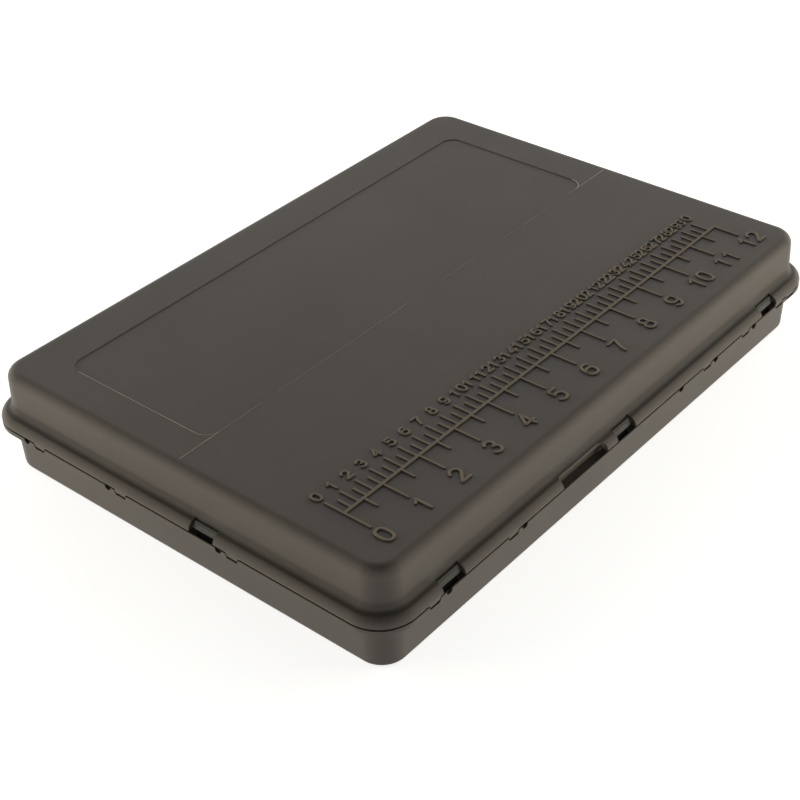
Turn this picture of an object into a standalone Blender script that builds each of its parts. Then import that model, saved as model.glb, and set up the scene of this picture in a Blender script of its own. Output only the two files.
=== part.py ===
"""Tackle box with a hinged lid, sprung catches and lift-out dividers. Metres, +Z up.

The origin is the centre of the tray's underside. X runs along the long side, and -Y is the front.
Sections of the shells are pairs of (reach, height): reach is measured outwards from the wall line.
"""

import math

import bmesh
import bpy
from mathutils import Matrix, Vector

# Wall line that both shells share, at the height where they meet
WALL_LENGTH = 0.3526
WALL_DEPTH = 0.2496
CORNER_RADIUS = 0.0140
CORNER_STEPS = 8

# Heights
LIP_TOP = 0.0287
SEAM_GAP = 0.0003
LID_TOP = 0.0570
FLANGE_REACH = 0.0062

# Lid shell
LID_WALL = 0.0020
LID_TOP_ROUND = 0.0050
LID_DRAFT = 0.00095
FLANGE_HEIGHT = 0.0053
FLANGE_EDGE = 0.0005
FLANGE_ROOT = 0.0009
COVE = 0.0008
FLANGE_WALL = 0.0018
SKIRT_REACH = 0.0015
SKIRT_WALL = 0.0020
SKIRT_DIP = 0.0014
ROUND_STEPS = 5

# Tray shell
TRAY_WALL = 0.0020
TRAY_FLOOR = 0.0020
TRAY_BOTTOM_ROUND = 0.0025
TRAY_SET_IN = 0.0002
TRAY_DRAFT = 0.0009
LIP_HEIGHT = 0.0029
LIP_WALL = 0.0010
LIP_CHAMFER = 0.0004
WEB_THICKNESS = 0.0011
UPSTAND_DROP = 0.0003
CHANNEL_GAP = 0.00045
FLOOR_FILLET = 0.0020

# Recessed panel on the back half of the lid, with its margins to the wall line
PANEL_LEFT_MARGIN = 0.0239
PANEL_RIGHT_MARGIN = 0.0263
PANEL_BACK_MARGIN = 0.0276
PANEL_RADIUS = 0.0080
PANEL_RECESS = 0.0005

# Ruler on the lid: it starts at the left margin and runs for as many whole inches as the lid takes
RULER_LEFT_MARGIN = 0.0225
RULER_RIGHT_MARGIN = 0.0200
RULER_FRONT_MARGIN = 0.0402
INCH = 0.0254
CENTIMETRE = 0.0100
LINE_WIDTH = 0.0010
RULER_RELIEF = 0.0006
INCH_TICK = 0.0155
HALF_INCH_TICK = 0.0084
CM_TICK = 0.0119
HALF_CM_TICK = 0.0080

# Thumb notch in the front flange
NOTCH_PLACE_SHARE = -0.10635
NOTCH_LENGTH = 0.0370
NOTCH_WALL_SHAVE = 0.0002
NOTCH_RADIUS = 0.0040

# Notches and slots in the tray's lip: places along a side as shares of it, seen from outside, left to right
FRONT_HALF_ROUND_SHARES = (-0.39904, -0.24078, 0.13471, 0.22830, 0.33749)
FRONT_SLOT_SHARES = (-0.42428, -0.26432, 0.20476, 0.31310, 0.41350, 0.44668)
SIDE_HALF_ROUND_SHARES = (-0.39744, -0.16266, 0.13021)
SIDE_SLOT_SHARES = (-0.36058, -0.12821, 0.16426)
HALF_ROUND_RADIUS = 0.0021
SLOT_LENGTH = 0.0081
FRONT_SLOT_DEPTH = 0.0020
SIDE_SLOT_DEPTH = 0.0024
SLOT_SLANT = 0.0009

# Tabs under the lid's flange, one in each slot
TAB_END_GAP = 0.0004
TAB_FOOT_GAP = 0.0010
TAB_SET_IN = 0.0002
TAB_WALL = 0.0010
TAB_ROOT = 0.0004

# Catches, with their places as shares of the side
FRONT_CATCH_SHARES = (-0.38684, -0.00624, 0.38060)
SIDE_CATCH_SHARE = 0.08814
CUTOUT_WIDTH = 0.0160
LEDGE_RISE = 0.0030
LEDGE_ROOT = 0.0004
CATCH_WIDTH = 0.0142
ARM_WIDTH = 0.0124
CATCH_GAP = 0.0003
EAR_GAP = 0.0004
PIVOT_REACH = 0.0024
PIVOT_DROP = 0.0015
BARREL_RADIUS = 0.0014
TRUNNION_RADIUS = 0.0009
TRUNNION_CLEARANCE = 0.0002
EAR_WALL = 0.0014
ARM_THICKNESS = 0.0013
POCKET_REACH = 0.0042
HEAD_HEIGHT = 0.0017
NOSE_REACH = 0.00075
NOSE_TIP = 0.0004
FINGER_LIP_REACH = 0.0040
FINGER_LIP_RISE = 0.0016
FINGER_LIP_THICKNESS = 0.0007

# Hinge
HINGE_PLACE_SHARE = 0.29779
KNUCKLE_RADIUS = 0.0032
KNUCKLE_GAP = 0.0004
KNUCKLE_LENGTH = 0.0090
KNUCKLES = 5
HINGE_ARM_SHARE = 0.8125
HINGE_ARM_DROP = 0.0002
PIN_RADIUS = 0.0010
PIN_CLEARANCE = 0.00012
PIN_SHORT = 0.0005
ROUND_SIDES = 12

# Inside
PARTITION_THICKNESS = 0.0016
PARTITION_DROP = 0.0011
PARTITION_SHARES = (-0.24439, 0.0, 0.24439)
SLOTS_IN_A_ROW = 8
SLOT_PITCH_SHARE = 0.10947
RIB_REACH = 0.0012
RIB_WIDTH = 0.0010
WALL_RIB_REACH = 0.0026
DIVIDER_THICKNESS = 0.0012
DIVIDER_CLEARANCE = 0.0003
DIVIDER_TOP_DROP = 0.0006
DIVIDER_CORNER = 0.0015
DIVIDER_SLOTS = (1, 3, 4, 6)
LID_RIB_GAP = 0.0010

# One overrun serves all cuts and all joins
OVERRUN = 0.0010

# Points closer than this are one point
WELD = 0.000001

WALL_TURNS = {"front": 0, "left": -90, "right": 90, "back": 180}

# Turns of a flat outline (u, v): UPRIGHT lays u along X and v up, ENDWISE lays u along Y and v up
UPRIGHT = Matrix(((1, 0, 0, 0), (0, 0, -1, 0), (0, 1, 0, 0), (0, 0, 0, 1)))
ENDWISE = Matrix(((0, 0, 1, 0), (1, 0, 0, 0), (0, 1, 0, 0), (0, 0, 0, 1)))
# OUTWARDS lays u outwards from a side and v up, and IN_PLAN lays u along the side and v outwards
OUTWARDS = Matrix(((0, 0, -1, 0), (-1, 0, 0, 0), (0, 1, 0, 0), (0, 0, 0, 1)))

IN_PLAN = Matrix(((1, 0, 0, 0), (0, -1, 0, 0), (0, 0, -1, 0), (0, 0, 0, 1)))

OLIVE = (0.098, 0.086, 0.062)
CATCH_OLIVE = (0.150, 0.145, 0.120)
DIVIDER_OLIVE = (0.180, 0.168, 0.130)
STEEL = (0.560, 0.570, 0.580)


def clear_scene():
    for obj in list(bpy.data.objects):
        bpy.data.objects.remove(obj, do_unlink=True)


def new_collection(name):
    collection = bpy.data.collections.new(name)
    bpy.context.scene.collection.children.link(collection)
    return collection


def new_material(name, colour, roughness, metallic=0.0):
    material = bpy.data.materials.new(name)
    material.use_nodes = True
    shader = material.node_tree.nodes["Principled BSDF"]
    shader.inputs["Base Color"].default_value = (*colour, 1.0)
    shader.inputs["Roughness"].default_value = roughness
    shader.inputs["Metallic"].default_value = metallic
    return material


def arc(centre, radii, start, end, steps):
    """Points of an elliptical arc, with the angles in degrees and both ends included."""
    points = []
    for step in range(steps + 1):
        angle = math.radians(start + (end - start) * step / steps)
        x = centre[0] + radii[0] * math.cos(angle)
        y = centre[1] + radii[1] * math.sin(angle)
        points.append((x, y))
    return points


def rounded_rectangle(left, right, front, back, radius, steps):
    points = []
    corners = ((right, back, 0), (left, back, 90), (left, front, 180), (right, front, 270))
    for x, y, start in corners:
        centre_x = x - math.copysign(radius, x - left - radius)
        centre_y = y - math.copysign(radius, y - front - radius)
        points += arc((centre_x, centre_y), (radius, radius), start, start + 90, steps)
    return points


def poly_curve(name, outlines, dimensions="2D", cyclic=True):
    """A curve object of straight-sided splines, one for each outline."""
    curve = bpy.data.curves.new(name, "CURVE")
    curve.dimensions = dimensions
    for outline in outlines:
        spline = curve.splines.new("POLY")
        spline.points.add(len(outline) - 1)
        for point, place in zip(spline.points, outline):
            point.co = (place[0], place[1], 0.0, 1.0)
        spline.use_cyclic_u = cyclic
    obj = bpy.data.objects.new(name, curve)
    bpy.context.scene.collection.objects.link(obj)
    return obj


def as_mesh(curve_object, name):
    """The curve's own mesh, welded, with the curve removed."""
    graph = bpy.context.evaluated_depsgraph_get()
    mesh = bpy.data.meshes.new_from_object(curve_object.evaluated_get(graph))
    mesh.name = name
    mesh.transform(curve_object.matrix_world)
    data = curve_object.data
    bpy.data.objects.remove(curve_object, do_unlink=True)
    bpy.data.curves.remove(data)
    shape = bmesh.new()
    shape.from_mesh(mesh)
    bmesh.ops.remove_doubles(shape, verts=shape.verts, dist=WELD)
    bmesh.ops.recalc_face_normals(shape, faces=shape.faces)
    shape.to_mesh(mesh)
    shape.free()
    return mesh


def swept_shell(name, section):
    """A shell whose section runs round the wall line. The section's two ends are closed by flat faces."""
    half_length = WALL_LENGTH / 2
    half_depth = WALL_DEPTH / 2
    line = rounded_rectangle(-half_length, half_length, -half_depth, half_depth, CORNER_RADIUS, CORNER_STEPS)
    profile = poly_curve(name + "_section", [section], cyclic=False)
    path = poly_curve(name + "_path", [line], dimensions="3D")
    path.data.twist_mode = "Z_UP"
    path.data.bevel_mode = "OBJECT"
    path.data.bevel_object = profile
    mesh = as_mesh(path, name)
    section_data = profile.data
    bpy.data.objects.remove(profile, do_unlink=True)
    bpy.data.curves.remove(section_data)
    close_ends(mesh)
    return mesh


def close_ends(mesh):
    """Fills each open loop of the mesh with one flat face."""
    shape = bmesh.new()
    shape.from_mesh(mesh)
    open_edges = [edge for edge in shape.edges if edge.is_boundary]
    bmesh.ops.holes_fill(shape, edges=open_edges, sides=0)
    bmesh.ops.recalc_face_normals(shape, faces=shape.faces)
    shape.to_mesh(mesh)
    shape.free()


def prism(name, outlines, thickness):
    """A flat outline made solid, centred on its own plane. A second outline is a hole in it."""
    curve = poly_curve(name, outlines)
    curve.data.fill_mode = "BOTH" if len(outlines) > 1 else "NONE"
    curve.data.extrude = thickness / 2
    mesh = as_mesh(curve, name)
    close_ends(mesh)
    return mesh


def cylinder(name, radius, length, sides=ROUND_SIDES):
    """A cylinder along X whose flats lie at the given radius from the axis on a bore, or corners on a pin."""
    shape = bmesh.new()
    turn = Matrix.Rotation(math.radians(90), 4, "Y")
    bmesh.ops.create_cone(
        shape, cap_ends=True, segments=sides, radius1=radius, radius2=radius, depth=length, matrix=turn
    )
    mesh = bpy.data.meshes.new(name)
    shape.to_mesh(mesh)
    shape.free()
    return mesh


def box(name, low, high):
    shape = bmesh.new()
    size = [top - bottom for bottom, top in zip(low, high)]
    centre = Vector([(top + bottom) / 2 for bottom, top in zip(low, high)])
    matrix = Matrix.Translation(centre) @ Matrix.Diagonal((*size, 1.0))
    bmesh.ops.create_cube(shape, size=1.0, matrix=matrix)
    mesh = bpy.data.meshes.new(name)
    shape.to_mesh(mesh)
    shape.free()
    return mesh


def joined(name, pieces):
    """One mesh from several, each given as (mesh, matrix). They stay separate shells."""
    shape = bmesh.new()
    for mesh, matrix in pieces:
        copy = mesh.copy()
        copy.transform(matrix)
        shape.from_mesh(copy)
        bpy.data.meshes.remove(copy)
    mesh = bpy.data.meshes.new(name)
    shape.to_mesh(mesh)
    shape.free()
    return mesh


def side_frame(side):
    """Turns (along, -reach, height), measured from the wall line of a side, into the part's own frame."""
    half = WALL_DEPTH / 2 if side in ("front", "back") else WALL_LENGTH / 2
    turn = Matrix.Rotation(math.radians(WALL_TURNS[side]), 4, "Z")
    return turn @ Matrix.Translation((0.0, -half, 0.0))


def section_frame(side, along):
    """Places a prism drawn in (reach, height) square to a side, centred at a place along it."""
    return side_frame(side) @ Matrix.Translation((along, 0.0, 0.0)) @ OUTWARDS


def plan_frame(side, along, height):
    """Places a prism drawn in (along, reach) flat at a height."""
    return side_frame(side) @ Matrix.Translation((along, 0.0, height)) @ IN_PLAN


def add_object(name, mesh, collection, material=None, smooth=True):
    obj = bpy.data.objects.new(name, mesh)
    collection.objects.link(obj)
    if material:
        mesh.materials.append(material)
    if smooth:
        mesh.shade_smooth()
        mesh.set_sharp_from_angle(angle=math.radians(30))
    return obj


def outward(mesh):
    """Faces that point out, also after a mirroring placement."""
    shape = bmesh.new()
    shape.from_mesh(mesh)
    bmesh.ops.recalc_face_normals(shape, faces=shape.faces)
    shape.to_mesh(mesh)
    shape.free()
    return mesh


def boolean(target, operation, mesh, cutters, label):
    """A Boolean modifier on the target, with its helper kept among the cutters."""
    helper = bpy.data.objects.new(target.name + "_" + label, outward(mesh))
    cutters.objects.link(helper)
    helper.hide_render = True
    helper.display_type = "WIRE"
    modifier = target.modifiers.new(label, "BOOLEAN")
    modifier.operation = operation
    modifier.solver = "EXACT"
    modifier.object = helper
    return helper


def catch_places():
    """Name, side and place along the side of each catch."""
    labels = ("front_left", "front_middle", "front_right")
    places = []
    for label, share in zip(labels, FRONT_CATCH_SHARES):
        places.append(("catch_" + label, "front", share * WALL_LENGTH))
    places.append(("catch_side_left", "left", SIDE_CATCH_SHARE * WALL_DEPTH))
    places.append(("catch_side_right", "right", -SIDE_CATCH_SHARE * WALL_DEPTH))
    return places


# Levels and places worked out from the driving sizes
LID_EDGE = LIP_TOP + SEAM_GAP
LEDGE_HEIGHT = LID_EDGE + LEDGE_RISE
CATCH_TOP = LEDGE_HEIGHT + HEAD_HEIGHT
FINGER_LIP_HEIGHT = LID_EDGE + FINGER_LIP_RISE
PARTITION_TOP = LIP_TOP - PARTITION_DROP
WEB_UNDER = LIP_TOP - LIP_HEIGHT
PIVOT_HEIGHT = WEB_UNDER - PIVOT_DROP
CHANNEL_FLOOR = WEB_UNDER + WEB_THICKNESS
UPSTAND_TOP = LIP_TOP - UPSTAND_DROP
SKIRT_BOTTOM = LIP_TOP - SKIRT_DIP
SKIRT_INNER = SKIRT_REACH - SKIRT_WALL
UPSTAND_OUTER = SKIRT_INNER - CHANNEL_GAP
HINGE_REACH = FLANGE_REACH + KNUCKLE_GAP + KNUCKLE_RADIUS
HINGE_ARM = HINGE_ARM_SHARE * KNUCKLE_RADIUS
HINGE_X = HINGE_PLACE_SHARE * WALL_LENGTH
HINGE_Y = WALL_DEPTH / 2 + HINGE_REACH
HINGE_Z = LIP_TOP + SEAM_GAP / 2
HINGE_LENGTH = KNUCKLES * KNUCKLE_LENGTH + (KNUCKLES - 1) * KNUCKLE_GAP
FLAT_REACH = -(LID_TOP_ROUND + CORNER_RADIUS / 2)
RULER_START = -WALL_LENGTH / 2 + RULER_LEFT_MARGIN
RULER_Y = -WALL_DEPTH / 2 + RULER_FRONT_MARGIN
INCHES = math.floor((WALL_LENGTH - RULER_LEFT_MARGIN - RULER_RIGHT_MARGIN) / INCH)
CENTIMETRES = math.floor(INCHES * INCH / CENTIMETRE)
SLOT_PITCH = SLOT_PITCH_SHARE * WALL_LENGTH


def lid_section():
    """From the middle of the top, out over the flange, under it, round the skirt and back inside."""
    wall_top = LID_TOP - LID_TOP_ROUND
    top_centre = (-LID_DRAFT - LID_TOP_ROUND, wall_top)
    flange_centre = (FLANGE_ROOT, LID_EDGE + FLANGE_EDGE)
    flange_rise = FLANGE_HEIGHT - FLANGE_EDGE
    inner_radii = (FLANGE_REACH - FLANGE_ROOT - FLANGE_WALL, flange_rise - FLANGE_WALL)
    hollow_steps = ROUND_STEPS - 2
    hollow = arc(flange_centre, inner_radii, 0, 75, hollow_steps)
    inner_round = LID_TOP_ROUND - LID_WALL
    wall_foot = LID_EDGE + FLANGE_HEIGHT + COVE
    points = [(FLAT_REACH, LID_TOP)]
    points += arc(top_centre, (LID_TOP_ROUND, LID_TOP_ROUND), 90, 0, ROUND_STEPS)
    points += [(0.0, wall_foot), (FLANGE_ROOT / 2, wall_foot - COVE * 3 / 4)]
    points += arc(flange_centre, (FLANGE_REACH - FLANGE_ROOT, flange_rise), 90, 0, ROUND_STEPS)
    points += [(FLANGE_REACH, LID_EDGE), (FLANGE_REACH - FLANGE_WALL, LID_EDGE)]
    points += hollow
    points += [(SKIRT_REACH, hollow[-1][1]), (SKIRT_REACH, SKIRT_BOTTOM), (SKIRT_INNER, SKIRT_BOTTOM)]
    points += [(SKIRT_INNER, LID_EDGE), (-LID_WALL, LID_EDGE + LID_WALL)]
    points += arc(top_centre, (inner_round, inner_round), 0, 90, ROUND_STEPS - 2)
    points += [(FLAT_REACH, LID_TOP - LID_WALL)]
    return points


def tray_section():
    """From the middle of the underside, out under the rim, over the lip and back down to the floor."""
    outer = -TRAY_SET_IN - TRAY_DRAFT
    inner_top = UPSTAND_OUTER - TRAY_WALL * 5 / 8
    inner_foot = outer - TRAY_WALL
    points = [(FLAT_REACH, 0.0)]
    bottom_centre = (outer - TRAY_BOTTOM_ROUND, TRAY_BOTTOM_ROUND)
    points += arc(bottom_centre, (TRAY_BOTTOM_ROUND, TRAY_BOTTOM_ROUND), -90, 0, ROUND_STEPS - 2)
    points += [(-TRAY_SET_IN, WEB_UNDER), (FLANGE_REACH - LIP_CHAMFER, WEB_UNDER)]
    points += [(FLANGE_REACH, WEB_UNDER + LIP_CHAMFER), (FLANGE_REACH, LIP_TOP)]
    points += [(FLANGE_REACH - LIP_WALL, LIP_TOP), (FLANGE_REACH - LIP_WALL, CHANNEL_FLOOR)]
    points += [(UPSTAND_OUTER, CHANNEL_FLOOR), (UPSTAND_OUTER, UPSTAND_TOP), (inner_top, UPSTAND_TOP)]
    fillet_centre = (inner_foot - FLOOR_FILLET, TRAY_FLOOR + FLOOR_FILLET)
    points += arc(fillet_centre, (FLOOR_FILLET, FLOOR_FILLET), 0, -90, ROUND_STEPS - 3)
    points += [(FLAT_REACH, TRAY_FLOOR)]
    return points


def catch_cutout_outline():
    """The flange's cut-out at a catch: deeper above the ledge that the nose holds."""
    far = FLANGE_REACH + OVERRUN
    foot = SKIRT_BOTTOM - OVERRUN
    top = LID_EDGE + FLANGE_HEIGHT + COVE + OVERRUN
    near = SKIRT_REACH - NOTCH_WALL_SHAVE
    return [
        (near, foot),
        (far, foot),
        (far, top),
        (LEDGE_ROOT, top),
        (LEDGE_ROOT, LEDGE_HEIGHT),
        (near, LEDGE_HEIGHT),
    ]


def thumb_notch_outline():
    """The thumb notch in plan, with both inner corners rounded."""
    half = NOTCH_LENGTH / 2
    near = SKIRT_REACH - NOTCH_WALL_SHAVE
    far = FLANGE_REACH + OVERRUN
    centre_reach = near + NOTCH_RADIUS
    radii = (NOTCH_RADIUS, NOTCH_RADIUS)
    points = [(-half, far)]
    points += arc((-half + NOTCH_RADIUS, centre_reach), radii, 180, 270, ROUND_STEPS)
    points += arc((half - NOTCH_RADIUS, centre_reach), radii, 270, 360, ROUND_STEPS)
    points += [(half, far)]
    return points


def ruler_outline():
    """Baseline with its ticks as one comb-shaped outline, run round from the zero end."""
    half = LINE_WIDTH / 2
    start = RULER_START
    end = RULER_START + INCHES * INCH
    front = [(start - half, RULER_Y - INCH_TICK)]
    for mark in range(2 * INCHES + 1):
        x = start + mark * INCH / 2
        reach = HALF_INCH_TICK if mark % 2 else INCH_TICK
        if mark:
            front += [(x - half, RULER_Y - half), (x - half, RULER_Y - reach)]
        front.append((x + half, RULER_Y - reach))
        if mark < 2 * INCHES:
            front.append((x + half, RULER_Y - half))
    back = [(end + half, RULER_Y + half)]
    for mark in range(2 * CENTIMETRES, -1, -1):
        x = start + mark * CENTIMETRE / 2
        reach = HALF_CM_TICK if mark % 2 else CM_TICK
        back += [(x + half, RULER_Y + half), (x + half, RULER_Y + reach)]
        back.append((x - half, RULER_Y + reach))
        if mark:
            back.append((x - half, RULER_Y + half))
    return front + back


def lid_rib_outline():
    """The rib along the lid's middle, whose upper corners follow the middle of the lid's wall."""
    half = WALL_LENGTH / 2 - LID_DRAFT - LID_WALL / 2
    middle_round = LID_TOP_ROUND - LID_WALL / 2
    centre = (half - middle_round, LID_TOP - LID_TOP_ROUND)
    low = UPSTAND_TOP + LID_RIB_GAP
    right = [(half, low)] + arc(centre, (middle_round, middle_round), 0, 90, ROUND_STEPS - 1)
    return right + [(-x, z) for x, z in reversed(right)]


def knuckle_spans(of_lid):
    """The stretches along X, from the hinge's middle, of the knuckles of the lid or of the tray."""
    pitch = KNUCKLE_LENGTH + KNUCKLE_GAP
    first = -HINGE_LENGTH / 2
    spans = []
    for index in range(KNUCKLES):
        if (index % 2 == 1) == of_lid:
            spans.append((first + index * pitch, first + index * pitch + KNUCKLE_LENGTH))
    return spans


def knuckles(name, of_lid):
    """Barrels and arms of both hinges. Each knuckle is one outline across the hinge."""
    step = HINGE_ARM_DROP + SEAM_GAP / 2
    sign = 1 if of_lid else -1
    root_wall = FLANGE_WALL if of_lid else LIP_WALL
    near = HINGE_REACH - FLANGE_REACH + root_wall * 2 / 3
    # The round runs from one side of the arm, over the far side of the barrel, to the arm's other side.
    start = math.degrees(math.asin(step / KNUCKLE_RADIUS))
    end = math.degrees(math.asin((step + HINGE_ARM) / KNUCKLE_RADIUS))
    barrel = arc((0.0, 0.0), (KNUCKLE_RADIUS, KNUCKLE_RADIUS), -180 - start, 180 - end, ROUND_SIDES)
    outline = [(y, sign * z) for y, z in barrel]
    outline += [(-near, sign * (step + HINGE_ARM)), (-near, sign * step)]
    bore = PIN_RADIUS + PIN_CLEARANCE
    bore /= math.cos(math.pi / ROUND_SIDES)
    hole = arc((0.0, 0.0), (bore, bore), 0, 360 - 360 / ROUND_SIDES, ROUND_SIDES - 1)
    pieces = []
    for centre in (-HINGE_X, HINGE_X):
        for left, right in knuckle_spans(of_lid):
            mesh = prism(name, [outline, hole], right - left)
            place = Matrix.Translation((centre + (left + right) / 2, HINGE_Y, HINGE_Z))
            pieces.append((mesh, place @ ENDWISE))
    return joined(name, pieces)


def make_lid(collection, cutters, material):
    lid = add_object("lid", swept_shell("lid", lid_section()), collection, material)
    ruler = prism("ruler", [ruler_outline()], 2 * RULER_RELIEF)
    rib = prism("rib", [lid_rib_outline()], PARTITION_THICKNESS)
    joins = [(ruler, Matrix.Translation((0.0, 0.0, LID_TOP))), (rib, UPRIGHT)]
    joins.append((knuckles("lid_knuckles", True), Matrix()))
    joins += lid_tabs()
    boolean(lid, "UNION", joined("lid_joins", joins), cutters, "joins")
    left = -WALL_LENGTH / 2 + PANEL_LEFT_MARGIN
    right = WALL_LENGTH / 2 - PANEL_RIGHT_MARGIN
    back = WALL_DEPTH / 2 - PANEL_BACK_MARGIN
    panel = rounded_rectangle(left, right, 0.0, back, PANEL_RADIUS, ROUND_STEPS)
    panel_mesh = prism("panel", [panel], 2 * PANEL_RECESS)
    cuts = [(panel_mesh, Matrix.Translation((0.0, 0.0, LID_TOP)))]
    cutout = prism("cutout", [catch_cutout_outline()], CUTOUT_WIDTH)
    for _, side, along in catch_places():
        cuts.append((cutout, section_frame(side, along)))
    notch_top = LID_EDGE + FLANGE_HEIGHT + COVE + OVERRUN
    notch_foot = SKIRT_BOTTOM - OVERRUN
    notch = prism("notch", [thumb_notch_outline()], notch_top - notch_foot)
    notch_x = NOTCH_PLACE_SHARE * WALL_LENGTH
    cuts.append((notch, plan_frame("front", notch_x, (notch_top + notch_foot) / 2)))
    boolean(lid, "DIFFERENCE", joined("lid_cuts", cuts), cutters, "cuts")
    return lid


def partition_outline(y, ribs_front, ribs_back):
    """A partition in plan, with pairs of ribs on the sides that face a row of slots."""
    half_length = WALL_LENGTH / 2 - TRAY_WALL
    half = PARTITION_THICKNESS / 2
    gap = DIVIDER_THICKNESS / 2 + DIVIDER_CLEARANCE
    front = [(-half_length, y - half)]
    back = [(half_length, y + half)]
    for index in range(SLOTS_IN_A_ROW):
        x = slot_x(index)
        for left in (x - gap - RIB_WIDTH, x + gap):
            right = left + RIB_WIDTH
            if ribs_front:
                front += [(left, y - half), (left, y - half - RIB_REACH)]
                front += [(right, y - half - RIB_REACH), (right, y - half)]
        for right in (-x + gap + RIB_WIDTH, -x - gap):
            left = right - RIB_WIDTH
            if ribs_back:
                back += [(right, y + half), (right, y + half + RIB_REACH)]
                back += [(left, y + half + RIB_REACH), (left, y + half)]
    return front + [(half_length, y - half)] + back + [(-half_length, y + half)]


def slot_x(index):
    return (index - (SLOTS_IN_A_ROW - 1) / 2) * SLOT_PITCH


def rows():
    """Name, front edge and back edge of each row that takes dividers. The edges are the grooves' bottoms."""
    half = PARTITION_THICKNESS / 2
    inner_wall = WALL_DEPTH / 2 - TRAY_SET_IN - TRAY_DRAFT - TRAY_WALL
    first, second, third = [share * WALL_DEPTH for share in PARTITION_SHARES]
    return [
        ("front", first + half, second - half),
        ("middle", second + half, third - half),
        ("back", third + half, inner_wall - WALL_RIB_REACH + RIB_REACH),
    ]


def back_wall_ribs(name):
    """A seat with a groove on the back wall for each divider of the back row."""
    bottom = rows()[2][2]
    tips = bottom - RIB_REACH
    gap = DIVIDER_THICKNESS / 2 + DIVIDER_CLEARANCE
    root = WALL_DEPTH / 2 - TRAY_SET_IN - TRAY_DRAFT - TRAY_WALL / 2
    right = [(gap, bottom), (gap, tips), (gap + RIB_WIDTH, tips), (gap + RIB_WIDTH, root)]
    outline = right + [(-x, y) for x, y in reversed(right)]
    low = TRAY_FLOOR / 2
    seat = prism(name, [outline], PARTITION_TOP - low)
    middle = (PARTITION_TOP + low) / 2
    return [(seat, Matrix.Translation((slot_x(index), 0.0, middle))) for index in range(SLOTS_IN_A_ROW)]


def slots():
    """Side, place along the side and depth of each slot in the rim's lip."""
    places = [("front", share * WALL_LENGTH, FRONT_SLOT_DEPTH) for share in FRONT_SLOT_SHARES]
    for share in SIDE_SLOT_SHARES:
        places.append(("left", share * WALL_DEPTH, SIDE_SLOT_DEPTH))
        places.append(("right", -share * WALL_DEPTH, SIDE_SLOT_DEPTH))
    return places


def half_rounds():
    """Side and place along the side of each half-round notch in the rim's lip."""
    places = [("front", share * WALL_LENGTH) for share in FRONT_HALF_ROUND_SHARES]
    for share in SIDE_HALF_ROUND_SHARES:
        places.append(("left", share * WALL_DEPTH))
        places.append(("right", -share * WALL_DEPTH))
    return places


def slot_outline(depth, gap, low, high):
    """A slot with slanted ends, drawn in by a gap, between two levels measured from the lip's top."""
    slope = SLOT_SLANT / depth
    half = SLOT_LENGTH / 2 - gap
    right = [(half + slope * low, low), (half + slope * high, high)]
    return right + [(-x, y) for x, y in reversed(right)]


def lip_notches():
    """Half-round notches and slots of the rim's lip."""
    middle = FLANGE_REACH - LIP_WALL / 2
    thickness = LIP_WALL + OVERRUN
    half_round = arc((0.0, 0.0), (HALF_ROUND_RADIUS, HALF_ROUND_RADIUS), 180, 360, ROUND_STEPS + 1)
    half_round += [(HALF_ROUND_RADIUS, OVERRUN), (-HALF_ROUND_RADIUS, OVERRUN)]
    half_round_mesh = prism("half_round", [half_round], thickness)
    pieces = []
    for side, along in half_rounds():
        place = side_frame(side) @ Matrix.Translation((along, -middle, LIP_TOP))
        pieces.append((half_round_mesh, place @ UPRIGHT))
    for side, along, depth in slots():
        slot_mesh = prism("slot", [slot_outline(depth, 0.0, -depth, OVERRUN)], thickness)
        place = side_frame(side) @ Matrix.Translation((along, -middle, LIP_TOP))
        pieces.append((slot_mesh, place @ UPRIGHT))
    return pieces


def lid_tabs():
    """Tabs that hang from the lid's flange into the slots."""
    middle = FLANGE_REACH - TAB_SET_IN - TAB_WALL / 2
    pieces = []
    for side, along, depth in slots():
        outline = slot_outline(depth, TAB_END_GAP, TAB_FOOT_GAP - depth, SEAM_GAP + TAB_ROOT)
        tab = prism("tab", [outline], TAB_WALL)
        place = side_frame(side) @ Matrix.Translation((along, -middle, LIP_TOP))
        pieces.append((tab, place @ UPRIGHT))
    return pieces


def catch_pockets():
    """Openings through the rim's web for the arms of the catches."""
    pieces = []
    half_pocket = ARM_WIDTH / 2 + CATCH_GAP
    low = (-half_pocket, -POCKET_REACH, WEB_UNDER - OVERRUN)
    high = (half_pocket, -(PIVOT_REACH - ARM_THICKNESS / 2 - CATCH_GAP), CHANNEL_FLOOR + OVERRUN / 2)
    pocket = box("pocket", low, high)
    for _, side, along in catch_places():
        pieces.append((pocket, side_frame(side) @ Matrix.Translation((along, 0.0, 0.0))))
    return pieces


def ears(name):
    """Two ears under the rim at each catch, with a hole for its stub axle."""
    hole_radius = (TRUNNION_RADIUS + TRUNNION_CLEARANCE) / math.cos(math.pi / ROUND_SIDES)
    root = -TRAY_SET_IN - TRAY_WALL / 4
    top = WEB_UNDER + WEB_THICKNESS / 2
    outline = [(root, top), (POCKET_REACH, top), (POCKET_REACH, PIVOT_HEIGHT)]
    outline += arc((PIVOT_REACH, PIVOT_HEIGHT), (POCKET_REACH - PIVOT_REACH, PIVOT_REACH - root), -30, -75, 2)
    outline += [(root, PIVOT_HEIGHT - (PIVOT_REACH - root))]
    last = 360 - 360 / ROUND_SIDES
    hole = arc((PIVOT_REACH, PIVOT_HEIGHT), (hole_radius, hole_radius), 0, last, ROUND_SIDES - 1)
    ear = prism(name, [outline, hole], EAR_WALL)
    offset = ARM_WIDTH / 2 + EAR_GAP + EAR_WALL / 2
    pieces = []
    for _, side, along in catch_places():
        for sign in (-1, 1):
            pieces.append((ear, section_frame(side, along + sign * offset)))
    return pieces


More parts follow.
